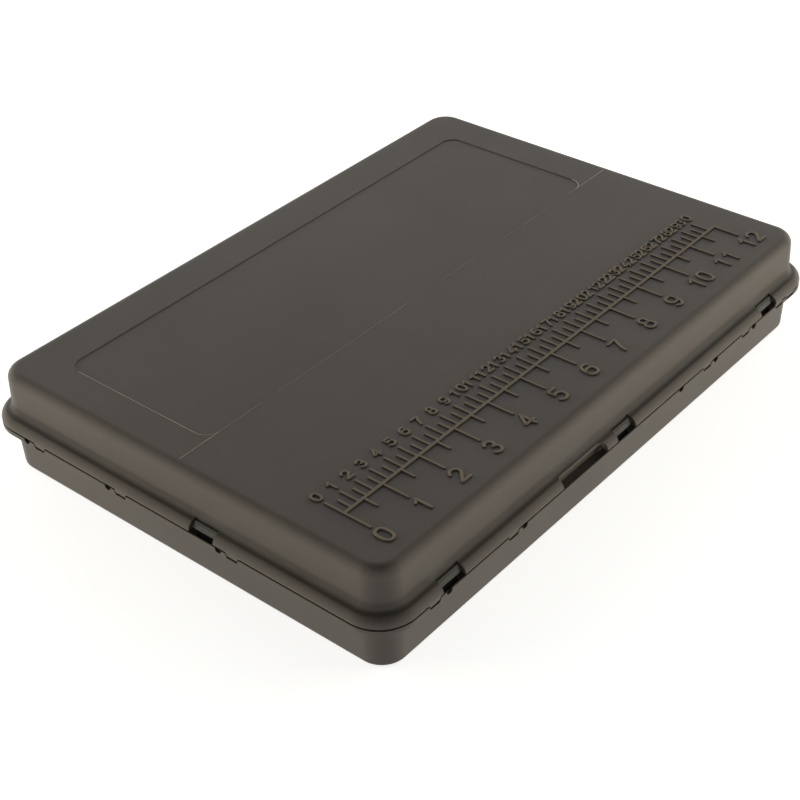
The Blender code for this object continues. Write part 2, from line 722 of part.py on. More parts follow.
def make_tray(collection, cutters, material):
    tray = add_object("tray", swept_shell("tray", tray_section()), collection, material)
    boolean(tray, "UNION", joined("back_ribs", back_wall_ribs("back_rib")), cutters, "back_ribs")
    height = PARTITION_TOP - TRAY_FLOOR / 2
    ribbed = ((False, True), (True, True), (True, True))
    joins = []
    for share, (front, back) in zip(PARTITION_SHARES, ribbed):
        mesh = prism("partition", [partition_outline(share * WALL_DEPTH, front, back)], height)
        joins.append((mesh, Matrix.Translation((0.0, 0.0, (PARTITION_TOP + TRAY_FLOOR / 2) / 2))))
    joins.append((knuckles("tray_knuckles", False), Matrix()))
    joins += ears("ear")
    boolean(tray, "UNION", joined("tray_joins", joins), cutters, "joins")
    boolean(tray, "DIFFERENCE", joined("lip_notches", lip_notches()), cutters, "notches")
    boolean(tray, "DIFFERENCE", joined("catch_pockets", catch_pockets()), cutters, "pockets")
    return tray


def catch_outline():
    """The catch seen along its side: arm, lip for the finger, sloping head and the nose over the ledge."""
    near = PIVOT_REACH - ARM_THICKNESS / 2
    far = PIVOT_REACH + ARM_THICKNESS / 2
    under_nose = LEDGE_HEIGHT + CATCH_GAP
    return [
        (near, PIVOT_HEIGHT),
        (far, PIVOT_HEIGHT),
        (far, FINGER_LIP_HEIGHT + NOSE_TIP / 2),
        (FINGER_LIP_REACH - NOSE_TIP, FINGER_LIP_HEIGHT - FINGER_LIP_THICKNESS / 2),
        (FINGER_LIP_REACH, FINGER_LIP_HEIGHT),
        (FINGER_LIP_REACH - NOSE_TIP / 4, FINGER_LIP_HEIGHT + NOSE_TIP),
        (far, CATCH_TOP - 5 * NOSE_TIP / 2),
        (PIVOT_REACH - NOSE_TIP, CATCH_TOP),
        (NOSE_REACH + NOSE_TIP, CATCH_TOP - NOSE_TIP / 2),
        (NOSE_REACH, CATCH_TOP - 2 * NOSE_TIP),
        (NOSE_REACH, under_nose + NOSE_TIP / 2),
        (NOSE_REACH + NOSE_TIP / 2, under_nose),
        (near, under_nose),
    ]


def make_catch(name, side, along, collection, cutters, material):
    """A catch whose origin is on its axis. Its own X runs along the side."""
    to_axis = Matrix.Translation((0.0, PIVOT_REACH, -PIVOT_HEIGHT)) @ OUTWARDS
    outline = catch_outline()
    body = prism(name, [outline], ARM_WIDTH)
    body.transform(to_axis)
    head_foot = FINGER_LIP_HEIGHT - FINGER_LIP_THICKNESS
    catch = add_object(name, outward(body), collection, material)
    barrel = cylinder("barrel", BARREL_RADIUS, ARM_WIDTH)
    boolean(catch, "UNION", barrel, cutters, "barrel")
    axle_length = ARM_WIDTH + 2 * EAR_GAP + 2 * EAR_WALL * 3 / 4
    axle = cylinder("axle", TRUNNION_RADIUS, axle_length)
    boolean(catch, "UNION", axle, cutters, "axle")
    # The head is the arm's own outline above its foot, made wider
    head = outline[2:]
    near = PIVOT_REACH - ARM_THICKNESS / 2
    far = PIVOT_REACH + ARM_THICKNESS / 2
    head += [(near + NOSE_TIP / 4, head_foot), (far - NOSE_TIP / 4, head_foot)]
    head_mesh = prism("head", [head], CATCH_WIDTH)
    head_mesh.transform(to_axis)
    boolean(catch, "UNION", head_mesh, cutters, "head")
    frame = side_frame(side) @ Matrix.Translation((along, -PIVOT_REACH, PIVOT_HEIGHT))
    catch.matrix_world = frame
    for modifier in catch.modifiers:
        modifier.object.matrix_world = frame
    return catch


def make_pin(name, x, collection, material):
    length = HINGE_LENGTH - 2 * PIN_SHORT
    pin = add_object(name, cylinder(name, PIN_RADIUS, length), collection, material)
    pin.location = (x, HINGE_Y, HINGE_Z)
    return pin


def divider_outline(length, height):
    """A divider from the side, with its foot corners cut off to lead it into its slots."""
    half = length / 2
    right = [(half - DIVIDER_CORNER, 0.0), (half, DIVIDER_CORNER), (half, height)]
    return right + [(-y, z) for y, z in reversed(right)]


def make_dividers(collection, material):
    foot = TRAY_FLOOR + DIVIDER_CLEARANCE
    height = PARTITION_TOP - DIVIDER_TOP_DROP - foot
    for row, front, back in rows():
        length = back - front - 2 * DIVIDER_CLEARANCE
        mesh = prism("divider_" + row, [divider_outline(length, height)], DIVIDER_THICKNESS)
        mesh.transform(ENDWISE)
        mesh.materials.append(material)
        for number, index in enumerate(DIVIDER_SLOTS, 1):
            divider = add_object(f"divider_{row}_{number}", mesh, collection, smooth=False)
            divider.location = (slot_x(index), (front + back) / 2, foot)


def main():
    clear_scene()
    parts = new_collection("tackle_box")
    cutters = new_collection("cutters")
    olive = new_material("olive_plastic", OLIVE, 0.55)
    catch_plastic = new_material("catch_plastic", CATCH_OLIVE, 0.30)
    divider_plastic = new_material("divider_plastic", DIVIDER_OLIVE, 0.45)
    steel = new_material("pin_steel", STEEL, 0.30, 1.0)
    make_tray(parts, cutters, olive)
    make_lid(parts, cutters, olive)
    for name, side, along in catch_places():
        make_catch(name, side, along, parts, cutters, catch_plastic)
    make_pin("hinge_pin_left", -HINGE_X, parts, steel)
    make_pin("hinge_pin_right", HINGE_X, parts, steel)
    make_dividers(parts, divider_plastic)


main()
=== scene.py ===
"""Looks of the tackle box: moulded shells with fine edges, catches, ruler numerals, materials and studio.

Lengths are in millimetres, but for the textures, the camera, the lights and the floor, which are in metres.
Sections of the shells are (reach, height, round). Reach is measured outwards from the wall line, which is
where the walls of the lid and of the tray meet, and round is the radius of the edge. Angles are in degrees.
"""
import math

import bmesh
import bpy
from mathutils import Matrix, Vector


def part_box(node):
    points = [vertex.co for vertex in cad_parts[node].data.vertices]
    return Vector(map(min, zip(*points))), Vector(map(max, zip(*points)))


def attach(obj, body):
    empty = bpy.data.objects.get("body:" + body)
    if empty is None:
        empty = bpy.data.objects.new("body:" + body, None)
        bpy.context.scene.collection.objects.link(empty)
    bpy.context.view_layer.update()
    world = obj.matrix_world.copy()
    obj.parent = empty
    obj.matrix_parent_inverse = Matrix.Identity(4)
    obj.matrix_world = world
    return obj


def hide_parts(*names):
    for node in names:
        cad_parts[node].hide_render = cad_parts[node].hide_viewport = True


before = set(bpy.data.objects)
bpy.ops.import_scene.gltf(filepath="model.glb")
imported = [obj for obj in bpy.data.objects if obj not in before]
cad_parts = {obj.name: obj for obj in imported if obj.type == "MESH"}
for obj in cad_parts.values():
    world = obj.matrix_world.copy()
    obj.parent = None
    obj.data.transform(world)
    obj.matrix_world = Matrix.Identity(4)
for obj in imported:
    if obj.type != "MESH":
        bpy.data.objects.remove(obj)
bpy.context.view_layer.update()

MM = 0.001

# Places that follow the frame
LID_LOW, LID_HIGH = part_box("lid")
PIN_BOXES = [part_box("hinge_pin_left"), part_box("hinge_pin_right")]
CATCHES = {
    "catch_front_left": "front",
    "catch_front_middle": "front",
    "catch_front_right": "front",
    "catch_side_left": "left",
    "catch_side_right": "right",
}
SIDE_TURNS = {"front": 0, "left": -90, "right": 90}

# Turns of prisms with an outline (u, v), seen from outside: u outwards and v up, with levels to the left
OUTWARDS = Matrix(((0, 0, -1, 0), (-1, 0, 0, 0), (0, 1, 0, 0), (0, 0, 0, 1)))
# u to the right and v up, with levels outwards
UPRIGHT = Matrix(((1, 0, 0, 0), (0, 0, -1, 0), (0, 1, 0, 0), (0, 0, 0, 1)))
# u to the right and v outwards, with levels downwards
IN_PLAN = Matrix(((1, 0, 0, 0), (0, -1, 0, 0), (0, 0, -1, 0), (0, 0, 0, 1)))
# u along Y and v up, with levels along X
ENDWISE = Matrix(((0, 0, 1, 0), (1, 0, 0, 0), (0, 1, 0, 0), (0, 0, 0, 1)))

# Wall line and what both shells share. Sections start and end deep in, at the flat middle of a shell
FLANGE_REACH = 6.2
HALF_LENGTH = LID_HIGH.x / MM - FLANGE_REACH
HALF_DEPTH = -LID_LOW.y / MM - FLANGE_REACH
CORNER_RADIUS = 14.0
CORNER_STEPS = 16
EDGE_STEPS = 3
EDGE_DENSITY = 2
WALL = 2.0
FINE_ROUND = 0.25
LIP_ROUND = 0.3
ROUND_SIDES = 24
DEEP_IN = -12.0
OVERRUN = 1.0

# Lid. Under the flange it is hollow, and the step inside its edge has a lower and an upper round
TOP = 56.85
TOP_REACH = -0.75
TOP_ROUND = 5.0
TOP_INNER_REACH = -0.95 - WALL
TOP_INNER_ROUND = 3.0
LID_EDGE = 29.33
FLANGE_TOP = 34.3
FLANGE_RISE = 4.55
FLANGE_ROOT = 0.9
FLANGE_START = 66
FLANGE_STEPS = 14
COVE = (0.03, FLANGE_TOP - 0.05, 3.0)
SKIRT_REACH = 1.5
SKIRT_INNER_REACH = -0.5
SKIRT_FOOT = 27.3
UNDER_FLANGE = ((4.4, LID_EDGE, 0.3), (4.2, 30.6, 0.8), (3.2, 32.2, 0.8), (SKIRT_REACH, 32.4, 0.4))
STEP_ROUNDS = (0.5, 2.0)
RIB_INSET = 1.95
RIB_HALF_WIDTH = 0.8
RIB_FOOT = LID_EDGE + 0.4
RIB_CORNER_DROP = 5.0
RIB_CORNER_RADIUS = 4.0
RIB_CORNER_STEPS = 5

# Cut-outs of the lid for the catches, with ends measured from right to left
CUTOUT_REACH = 1.3
CUTOUT_UPPER_REACH = 0.9
CUTOUT_ENDS = (-8.0, 7.5)
CUTOUT_ENDS_LEFT = (-7.5, 8.0)
CUTOUT_TOP = FLANGE_TOP + 2.5
LEDGE_HEIGHT = 32.0

# Thumb notch and the hollow under its face, with different rounds at their two ends
NOTCH_X = -36.5
NOTCH_LENGTH = 36.4
NOTCH_REACH = 2.2
NOTCH_ROUNDS = (2.0, 4.0)
NOTCH_OUT = 9.0
NOTCH_FACE_FOOT = 30.7
RECESS_REACH = 0.7
RECESS_ROUNDS = (1.0, 2.0)
RECESS_INSETS = (0.5, 1.5)
RECESS_OUT = 8.0

# Recessed panel of the lid's top: left, right, front and back
PANEL = (-152.4, 150.0, 0.0, 97.2)
PANEL_RADIUS = 8.0
PANEL_RECESS = 0.4

# Hinge
KNUCKLES = 5
KNUCKLE_RADIUS = 3.12
KNUCKLE_BORE = 1.13
KNUCKLE_PITCH = 9.4
KNUCKLE_HALF_LENGTH = 4.5
KNUCKLE_STEPS = 32
BORE_SIDES = 32
ARM_START = 0.35
ARM_THICKNESS = 2.6
LID_ARM_REACH = 4.8
TRAY_ARM_REACH = 4.3

# Tray. The rim's web has rounds at its outer edge, at the lip and at the upstand
LIP_TOP = 28.35
LIP_WIDTH = 1.0
WEB_UNDER = 25.8
WEB_TOP = 26.9
WEB_ROUNDS = (0.45, 0.4, 0.2)
UPSTAND_REACH = -0.95
UPSTAND_TOP = LIP_TOP - 0.3
UPSTAND_WIDTH = 1.25
WALL_FOOT = (-1.1, 0.0, 2.5)
WALL_HEAD = (-0.2, WEB_UNDER, 0.5)
INNER_FOOT = (-3.1, 2.0, 2.0)
PARTITION = 1.6
PARTITION_TOP = 27.6
PARTITIONS_Y = (-61.0, 0.0, 61.0)
INSIDE_FOOT = 1.0

# Grooves for the dividers, each between two ribs
GROOVES = 8
GROOVE_PITCH = 38.6
GROOVE_HALF_WIDTH = 0.9
RIB_STARTS = (-1.9, 0.9)
RIB_WIDTH = 1.0
RIB_REACH = 2.0
BACK_RIB_FRONT = 119.1
BACK_SEAT_FRONT = 120.3
BACK_RIB_ROOT = 122.7

# Notches and slots along the rim's lip, and the lid's tabs that hang in the slots
FRONT_HALF_ROUNDS = (-139.8, -84.9, 47.5, 80.5, 119.0)
FRONT_SLOTS = (-149.6, -93.2, 72.2, 110.4, 145.8, 157.5)
SIDE_HALF_ROUNDS = (-99.2, -40.6, 32.5)
SIDE_SLOTS = (-90.0, -32.0, 41.0)
HALF_ROUND_RADIUS = 2.1
HALF_ROUND_STEPS = 12
SLOT_LENGTH = 8.1
SLOT_SLANT = 0.9
FRONT_SLOT_DEPTH = 2.0
SIDE_SLOT_DEPTH = 2.4
LIP_CUT_WIDTH = 1.4
TAB_REACHES = (5.0, 6.0)
TAB_END_GAP = 0.4
TAB_FOOT_GAP = 1.3
TAB_TOP = 1.1

# Pockets in the rim and ears under it, for the catches. The ear's arc has a start, an end and steps
POCKET_HALF_LENGTH = 6.5
POCKET_REACHES = (1.45, 4.2)
POCKET_UNDER = WEB_UNDER - 1
POCKET_TOP = WEB_TOP + 0.5
CATCH_PIVOT = (2.4, 24.3)
EAR_OFFSET = 7.3
EAR_HALF_WIDTH = 0.7
EAR_REACHES = (-0.7, 4.2)
EAR_TOP = 26.3
EAR_FOOT = 21.2
EAR_RADIUS = 1.8
EAR_ARC = (-10, -60, 4)
EAR_HOLE = 1.1

# Catches
ARM_HALF_WIDTH = 6.2
ARM_REACHES = (1.3, 2.6)
ARM_FOOT = 24.3
HEAD_HALF_WIDTH = 7.1
HEAD_FOOT = 29.9
HEAD_FOOT_REACHES = (1.85, 2.95)
BARREL_RADIUS = 1.4
AXLE_RADIUS = 0.9
AXLE_HALF_LENGTH = 7.5

# Ruler on the lid
RULER_START = -153.8
RULER_Y = -84.6
RULER_RELIEF = 0.75
RULER_SUNK = 0.4
LINE_WIDTH = 1.4
BASELINE_WIDTH = 1.8
INCH = 25.4
CENTIMETRE = 10.0
INCHES = 12
CENTIMETRES = 30
INCH_TICK = 15.5
HALF_INCH_TICK = 8.4
CM_TICK = 11.4
HALF_CM_TICK = 8.2

# Numerals, whose sizes are (height, width, radius of the stroke)
INCH_NUMERAL_Y = -107.3
INCH_NUMERAL = (10.8, 7.4, 0.88)
CM_NUMERAL_Y = -67.9
CM_NUMERAL = (6.8, 5.1, 0.74)
CM_NUMERAL_SHIFT = 0.5
NUMERAL_RELIEF = 0.72
NUMERAL_FLATNESS = 1.35
NUMERAL_ADVANCE = 1.14
NUMERAL_ROUNDNESS = 3
DIGIT_WIDTH = 0.6
OVAL_STEPS = 32
OVAL_FULLNESS = 0.8
STROKE_END = ((0.0, 0.02), (0.12, 0.45), (0.35, 0.76), (0.7, 0.95), (1.0, 1.0))

# Fine lines on the lid's top
BEAD_WIDTH = 0.5
BEAD_RELIEF = 0.12
BEAD_ROUNDNESS = 2
BEAD_CORNER_STEPS = 10
MOULD_LINE_INSET = 6.0

# Softened edges and smooth shading
LID_EDGES = 0.25
TRAY_EDGES = 0.18
FITTING_EDGES = 0.2
RULER_EDGES = 0.45
WELD_DISTANCE = 0.001
FLAT_ANGLE = 1
SOFTENED_ANGLE = 50
SHARP_ANGLE = 35
NORMAL_WEIGHT = 80

# Colours
SHELL_COLOUR = (0.118, 0.101, 0.087)
# Painted highlight: a paler colour for thin lines along the flange's lower edge and the lip's top edge
EDGE_HIGHLIGHT_COLOUR = (0.15, 0.135, 0.105)
# Painted shade: a dark colour for the cove between the lid's wall and its flange
COVE_SHADE_COLOUR = (0.022, 0.018, 0.014)
# Painted highlight: the beads on the lid's top are painted paler than the shell
BEAD_HIGHLIGHT_COLOUR = (0.38, 0.35, 0.30)
# Painted light: the strokes of the ruler and numerals are the shell's plastic, painted paler for their lit
# slopes
LIT_STROKE_COLOUR = (0.215, 0.172, 0.122)
# Painted shade: a near-black colour at the foot of the raised strokes
STROKE_SHADE_COLOUR = (0.016, 0.013, 0.010)
CATCH_COLOUR = (0.044, 0.0385, 0.0255)
# Painted shade: near-black for the catch's arm below its head
CATCH_ARM_SHADE_COLOUR = (0.003, 0.0027, 0.0024)
DIVIDER_COLOUR = (0.090, 0.080, 0.058)
WIRE_COLOURS = ((0.42, 0.42, 0.43), (0.62, 0.62, 0.63))
FLOOR_COLOURS = ((0.86, 0.86, 0.86), (0.90, 0.90, 0.90))
WHITE = (1, 1, 1)
MIX_COLOUR_INPUTS = (0, 6, 7)
MIX_COLOUR_OUTPUT = 2

# Plastic. A noise is (waves per metre, detail, roughness) and a ramp is two stops of (place, level)
TINT_NOISE = (9.0, 3.0, 0.5)
TINT_RAMP = ((0.35, 0.0), (0.65, 1.0))
TINT_SPREAD = 0.06
WAVE_NOISE = (14.0, 2.0, 0.5)
WAVE_STRENGTH = 0.05
WAVE_DEPTH = 0.004
SMUDGE_NOISE = (45.0, 5.0, 0.65)
SMUDGE_SPREAD = 0.10
GRAIN_NOISE = (1400.0, 3.0, 0.6)
GRAIN_DEPTH = 0.0002
SPECK_NOISE = (620.0, 2.0, 0.5)
SPECK_RAMP = ((0.66, 0.0), (0.74, 1.0))
SPECK_STRENGTH = 0.10
SPECK_LIFT = 1.9
SPECK_BASE = 0.02
# Noise that breaks up the painted highlight lines
HIGHLIGHT_NOISE = (160.0, 3.0, 0.5)
HIGHLIGHT_RAMP = ((0.3, 0.35), (0.6, 1.0))
HIGHLIGHT_FADE = 0.15
# Noise that makes the painted shade in the cove cloudy
COVE_SHADE_NOISE = (60.0, 3.0, 0.5)
COVE_SHADE_RAMP = ((0.25, 0.45), (0.7, 0.65))
COVE_SHADE_FADE = 0.6
PLASTIC_IOR = 1.49

# Bands of colour by height: painted highlight lines at the edges (low, high), painted shade in the cove (low,
# high, faded at) and painted shade at the foot of the strokes (colour, low, high)
HIGHLIGHT_BANDS = ((LIP_TOP - 0.5, LIP_TOP - 0.2), (LID_EDGE + 0.15, LID_EDGE + 0.4))
COVE_SHADE_BAND = (FLANGE_TOP - 0.2, FLANGE_TOP + 1.0, FLANGE_TOP + 5.5)
STROKE_FOOT_SHADE = (STROKE_SHADE_COLOUR, TOP + 0.42, TOP + 0.68)

# Drawn wire of the pins
WIRE_STRETCH = (40.0, 2600.0, 2600.0)
WIRE_NOISE = (1.0, 3.0, 0.5)
WIRE_ROUGHNESS = 0.22
WIRE_ROUGHNESS_SPREAD = 0.2
WIRE_LINE_STRENGTH = 0.15
WIRE_LINE_DEPTH = 0.0001

# Camera of the photograph
EYE = Vector((-0.5453, -0.4591, 0.5111))
FORWARD = Vector((0.6098, 0.5300, -0.5893))
RIGHT = Vector((0.6387, -0.7688, -0.0305))
LENS = 73.66
SENSOR = 36.0
CLIP_START = 0.05
CLIP_END = 50.0

# Soft boxes, and the floor that runs out into the background
LIGHT_PLACES = ((-0.68, 1.45, 0.19), (1.45, -0.68, 0.19))
LIGHT_TARGET = (0, 0, 0.03)
LIGHT_SIZE = (2.0, 0.34)
LIGHT_POWERS = (24.0, 26.0)
LIGHT_COLOUR = (1.0, 0.94, 0.68)
FLOOR_RADIUS = 6.0
FLOOR_SIDES = 64
FLOOR_ROUGHNESS = 0.9
FLOOR_DROP = 0.0004
FLOOR_NOISE = (60.0, 4.0, 0.5)
FLOOR_GLOW = 0.76

# World: a white backdrop to some height, a dim ceiling above it and a darker room behind the camera
BACKDROP_END = 0.45
CEILING_START = 0.85
CEILING = 0.04
CEILING_COLOUR = (0.88, 0.94, 1.0)
BACKDROP_DIRECTION = (0.755, 0.656, 0.0)
ROOM_SPAN = (-0.7, 0.2)
ROOM = 0.1


def arc(centre, radius, start, end, steps, rise=None):
    """Points of an arc, with both ends included. A rise of its own makes it elliptical."""
    rise = radius if rise is None else rise
    points = []
    for step in range(steps + 1):
        angle = math.radians(start + (end - start) * step / steps)
        points.append((centre[0] + radius * math.cos(angle), centre[1] + rise * math.sin(angle)))
    return points


def circle(centre, radius, sides):
    return arc(centre, radius, 0, 360 - 360 / sides, sides - 1)


def oval(centre, half_width, half_height):
    """An oval whose corners are fuller than an ellipse's."""
    points = []
    for step in range(OVAL_STEPS):
        angle = math.radians(360 * step / OVAL_STEPS)
        across, up = math.cos(angle), math.sin(angle)
        x = math.copysign(abs(across) ** OVAL_FULLNESS, across)
        y = math.copysign(abs(up) ** OVAL_FULLNESS, up)
        points.append((centre[0] + half_width * x, centre[1] + half_height * y))
    return points


def rounded(corners, closed=False):
    """A line through (x, y, radius) corners, with each corner of some radius turned into an arc."""
    points = []
    count = len(corners)
    for index, (x, y, radius) in enumerate(corners):
        here = Vector((x, y))
        if radius == 0 or (not closed and index in (0, count - 1)):
            points.append((x, y))
            continue
        before = Vector(corners[index - 1][:2]) - here
        after = Vector(corners[(index + 1) % count][:2]) - here
        first, second = before.normalized(), after.normalized()
        half = first.angle(second) / 2
        centre = here + (first + second).normalized() * (radius / math.sin(half))
        reach = radius / math.tan(half)
        start, end = here + first * reach - centre, here + second * reach - centre
        turn = start.angle_signed(end)
        steps = max(EDGE_STEPS, math.ceil(abs(turn) * math.sqrt(radius) * EDGE_DENSITY))
        begin = math.atan2(start.y, start.x)
        for step in range(steps + 1):
            angle = begin - turn * step / steps
            points.append((centre.x + radius * math.cos(angle), centre.y + radius * math.sin(angle)))
    return points


def outline_at(reach):
    """The wall line moved outwards by reach, as points run round the object."""
    radius = CORNER_RADIUS + reach
    points = []
    for index, (sx, sy) in enumerate(((1, 1), (-1, 1), (-1, -1), (1, -1))):
        centre = (sx * (HALF_LENGTH - CORNER_RADIUS), sy * (HALF_DEPTH - CORNER_RADIUS))
        points += arc(centre, radius, 90 * index, 90 * index + 90, CORNER_STEPS)
    return points


def mesh_from(name, shape):
    """The mesh of a bmesh, which is used up, with its faces pointing out."""
    mesh = bpy.data.meshes.new(name)
    bmesh.ops.recalc_face_normals(shape, faces=shape.faces)
    shape.to_mesh(mesh)
    shape.free()
    return mesh


def through(name, rings):
    """A solid through rings of points, which all have the same count, with a flat face at both ends."""
    shape = bmesh.new()
    rings = [[shape.verts.new((x * MM, y * MM, z * MM)) for x, y, z in ring] for ring in rings]
    count = len(rings[0])
    for near, far in zip(rings, rings[1:]):
        for index in range(count):
            following = (index + 1) % count
            shape.faces.new((near[index], near[following], far[following], far[index]))
    shape.faces.new(rings[0])
    shape.faces.new(rings[-1])
    return mesh_from(name, shape)


def swept(name, section):
    """A shell whose section runs round the wall line."""
    return through(name, [[(x, y, height) for x, y in outline_at(reach)] for reach, height in section])


def prism(name, outline, low, high):
    """An outline made solid between two levels of its third axis."""
    return through(name, [[(x, y, level) for x, y in outline] for level in (low, high)])


def tube_prism(name, outline, bore, low, high):
    """A prism with a round bore through it at the outline's origin."""
    block = add(name, prism(name, outline, low, high))
    hole = prism(name + "_bore", circle((0, 0), bore, BORE_SIDES), low - OVERRUN, high + OVERRUN)
    cut(block, "DIFFERENCE", hole)
    return baked(block)


def box(name, low, high):
    outline = [(low[0], low[1]), (high[0], low[1]), (high[0], high[1]), (low[0], high[1])]
    return prism(name, outline, low[2], high[2])


def placed(side, along, height=0.0):
    """The matrix from a place on a side's wall line, with -Y outwards, into the object's frame."""
    half = HALF_DEPTH if side == "front" else HALF_LENGTH
    turn = Matrix.Rotation(math.radians(SIDE_TURNS[side]), 4, "Z")
    return turn @ Matrix.Translation((0, -half * MM, 0)) @ Matrix.Translation((along * MM, 0, height * MM))


def along_of(name, side):
    """Where the middle of a CAD node lies along its side."""
    low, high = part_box(name)
    middle = (low + high) / 2 / MM
    return {"front": middle.x, "left": -middle.y, "right": middle.y}[side]


def add(name, mesh):
    obj = bpy.data.objects.new(name, mesh)
    bpy.context.scene.collection.objects.link(obj)
    return obj


def moved(mesh, matrix):
    """A copy of the mesh moved by the matrix, with its faces pointing out."""
    copy = mesh.copy()
    copy.transform(matrix)
    if matrix.determinant() < 0:
        copy.flip_normals()
    return copy


def merged(name, meshes):
    """One mesh that holds several, which are used up."""
    shape = bmesh.new()
    for mesh in meshes:
        shape.from_mesh(mesh)
        bpy.data.meshes.remove(mesh)
    result = bpy.data.meshes.new(name)
    shape.to_mesh(result)
    shape.free()
    return result


def cut(obj, operation, mesh, self_overlap=False):
    """Applies a Boolean of this mesh to the object, and stops the script where it lost a part."""
    before = [max(corner[axis] for corner in obj.bound_box) for axis in range(3)]
    tool = add("tool", mesh)
    modifier = obj.modifiers.new("boolean", "BOOLEAN")
    modifier.operation = operation
    modifier.solver = "EXACT"
    modifier.use_self = self_overlap
    modifier.object = tool
    apply(obj)
    bpy.data.objects.remove(tool)
    points = [vertex.co for vertex in obj.data.vertices]
    after = [max((point[axis] for point in points), default=-math.inf) for axis in range(3)]
    if any(new < old - MM for new, old in zip(after, before)):
        raise ValueError(f"The Boolean {operation} on {obj.name} lost a part of it")


def evaluated_mesh(obj):
    bpy.context.view_layer.update()
    graph = bpy.context.evaluated_depsgraph_get()
    return bpy.data.meshes.new_from_object(obj.evaluated_get(graph))


def apply(obj):
    """Turns the object's modifiers into its mesh."""
    mesh = evaluated_mesh(obj)
    obj.modifiers.clear()
    obj.data = mesh


def apply_curve(obj):
    """Turns a curve object into a mesh object of the same name, in place."""
    mesh = evaluated_mesh(obj)
    name, curve = obj.name, obj.data
    bpy.data.objects.remove(obj)
    bpy.data.curves.remove(curve)
    return add(name, mesh)


def baked(obj):
    """The object's mesh, with the object removed."""
    mesh = obj.data
    bpy.data.objects.remove(obj)
    return mesh


def dress(obj, body, material, nodes=(), edge=0.0, steps=2):
    """Softens the edges, shades the piece smooth, gives it its material and lets it ride on its body."""
    if edge:
        bevel = obj.modifiers.new("edges", "BEVEL")
        bevel.width = edge * MM
        bevel.segments = steps
        bevel.limit_method = "ANGLE"
        bevel.angle_limit = math.radians(SOFTENED_ANGLE)
        bevel.use_clamp_overlap = True
        bevel.harden_normals = False
        apply(obj)
    obj.data.shade_smooth()
    obj.data.set_sharp_from_angle(angle=math.radians(SHARP_ANGLE))
    weighted = obj.modifiers.new("normals", "WEIGHTED_NORMAL")
    weighted.keep_sharp = True
    weighted.weight = NORMAL_WEIGHT
    obj.data.materials.clear()
    obj.data.materials.append(material)
    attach(obj, body)
    if nodes:
        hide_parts(*nodes)


def lid_section():
    """From the middle of the top, out over the flange, under it, round the skirt and back inside."""
    centre = (FLANGE_ROOT, FLANGE_TOP - FLANGE_RISE)
    flange = arc(centre, FLANGE_REACH - FLANGE_ROOT, FLANGE_START, 0, FLANGE_STEPS, rise=FLANGE_RISE)
    step_lower_round, step_upper_round = STEP_ROUNDS
    section = [(DEEP_IN, TOP, 0), (TOP_REACH, TOP, TOP_ROUND), COVE]
    section += [(reach, height, 0) for reach, height in flange]
    section.append((FLANGE_REACH, LID_EDGE, LIP_ROUND))
    section += UNDER_FLANGE
    section += [
        (SKIRT_REACH, SKIRT_FOOT, FINE_ROUND),
        (SKIRT_INNER_REACH, SKIRT_FOOT, FINE_ROUND),
        (SKIRT_INNER_REACH, LID_EDGE, step_lower_round),
        (-WALL, LID_EDGE + WALL, step_upper_round),
        (TOP_INNER_REACH, TOP - WALL, TOP_INNER_ROUND),
        (DEEP_IN, TOP - WALL, 0),
    ]
    return rounded(section)


def tray_section():
    """From the middle of the underside, up the wall, over the rim and down inside to the floor."""
    outer_round, channel_round, upstand_round = WEB_ROUNDS
    return rounded([
        (DEEP_IN, 0.0, 0),
        WALL_FOOT,
        WALL_HEAD,
        (FLANGE_REACH, WEB_UNDER, outer_round),
        (FLANGE_REACH, LIP_TOP, LIP_ROUND),
        (FLANGE_REACH - LIP_WIDTH, LIP_TOP, LIP_ROUND),
        (FLANGE_REACH - LIP_WIDTH, WEB_TOP, channel_round),
        (UPSTAND_REACH, WEB_TOP, upstand_round),
        (UPSTAND_REACH, UPSTAND_TOP, FINE_ROUND),
        (UPSTAND_REACH - UPSTAND_WIDTH, UPSTAND_TOP, FINE_ROUND),
        INNER_FOOT,
        (DEEP_IN, INNER_FOOT[1], 0),
    ])


def catch_cutout_meshes():
    """Cut-outs in the flange and the skirt, in which the heads of the catches stand."""
    foot = SKIRT_FOOT - OVERRUN
    outline = rounded([
        (CUTOUT_REACH, foot, 0),
        (FLANGE_REACH + OVERRUN, foot, 0),
        (FLANGE_REACH + OVERRUN, CUTOUT_TOP, 0),
        (CUTOUT_UPPER_REACH, CUTOUT_TOP, 0),
        (CUTOUT_UPPER_REACH, LEDGE_HEIGHT, LIP_ROUND),
        (CUTOUT_REACH, LEDGE_HEIGHT, LIP_ROUND),
    ], closed=True)
    meshes = []
    for name, side in CATCHES.items():
        low, high = CUTOUT_ENDS_LEFT if side == "left" else CUTOUT_ENDS
        cutout = prism("cutout", outline, low, high)
        meshes.append(moved(cutout, placed(side, along_of(name, side)) @ OUTWARDS))
    return meshes


def notch_mesh(name, left, right, reach, rounds, out, top):
    """A hollow in the flange from the skirt's foot to a top, with a round of its own at either end."""
    outline = [(left, out, 0), (left, reach, rounds[0]), (right, reach, rounds[1]), (right, out, 0)]
    mesh = prism(name, rounded(outline, closed=True), -top, -(SKIRT_FOOT - OVERRUN))
    return moved(mesh, placed("front", NOTCH_X) @ IN_PLAN)


def notch_meshes():
    """The thumb notch, and the deeper hollow under its face."""
    half = NOTCH_LENGTH / 2
    left, right = -half + RECESS_INSETS[0], half - RECESS_INSETS[1]
    notch = notch_mesh("notch", -half, half, NOTCH_REACH, NOTCH_ROUNDS, NOTCH_OUT, CUTOUT_TOP)
    recess = notch_mesh("recess", left, right, RECESS_REACH, RECESS_ROUNDS, RECESS_OUT, NOTCH_FACE_FOOT)
    return notch, recess


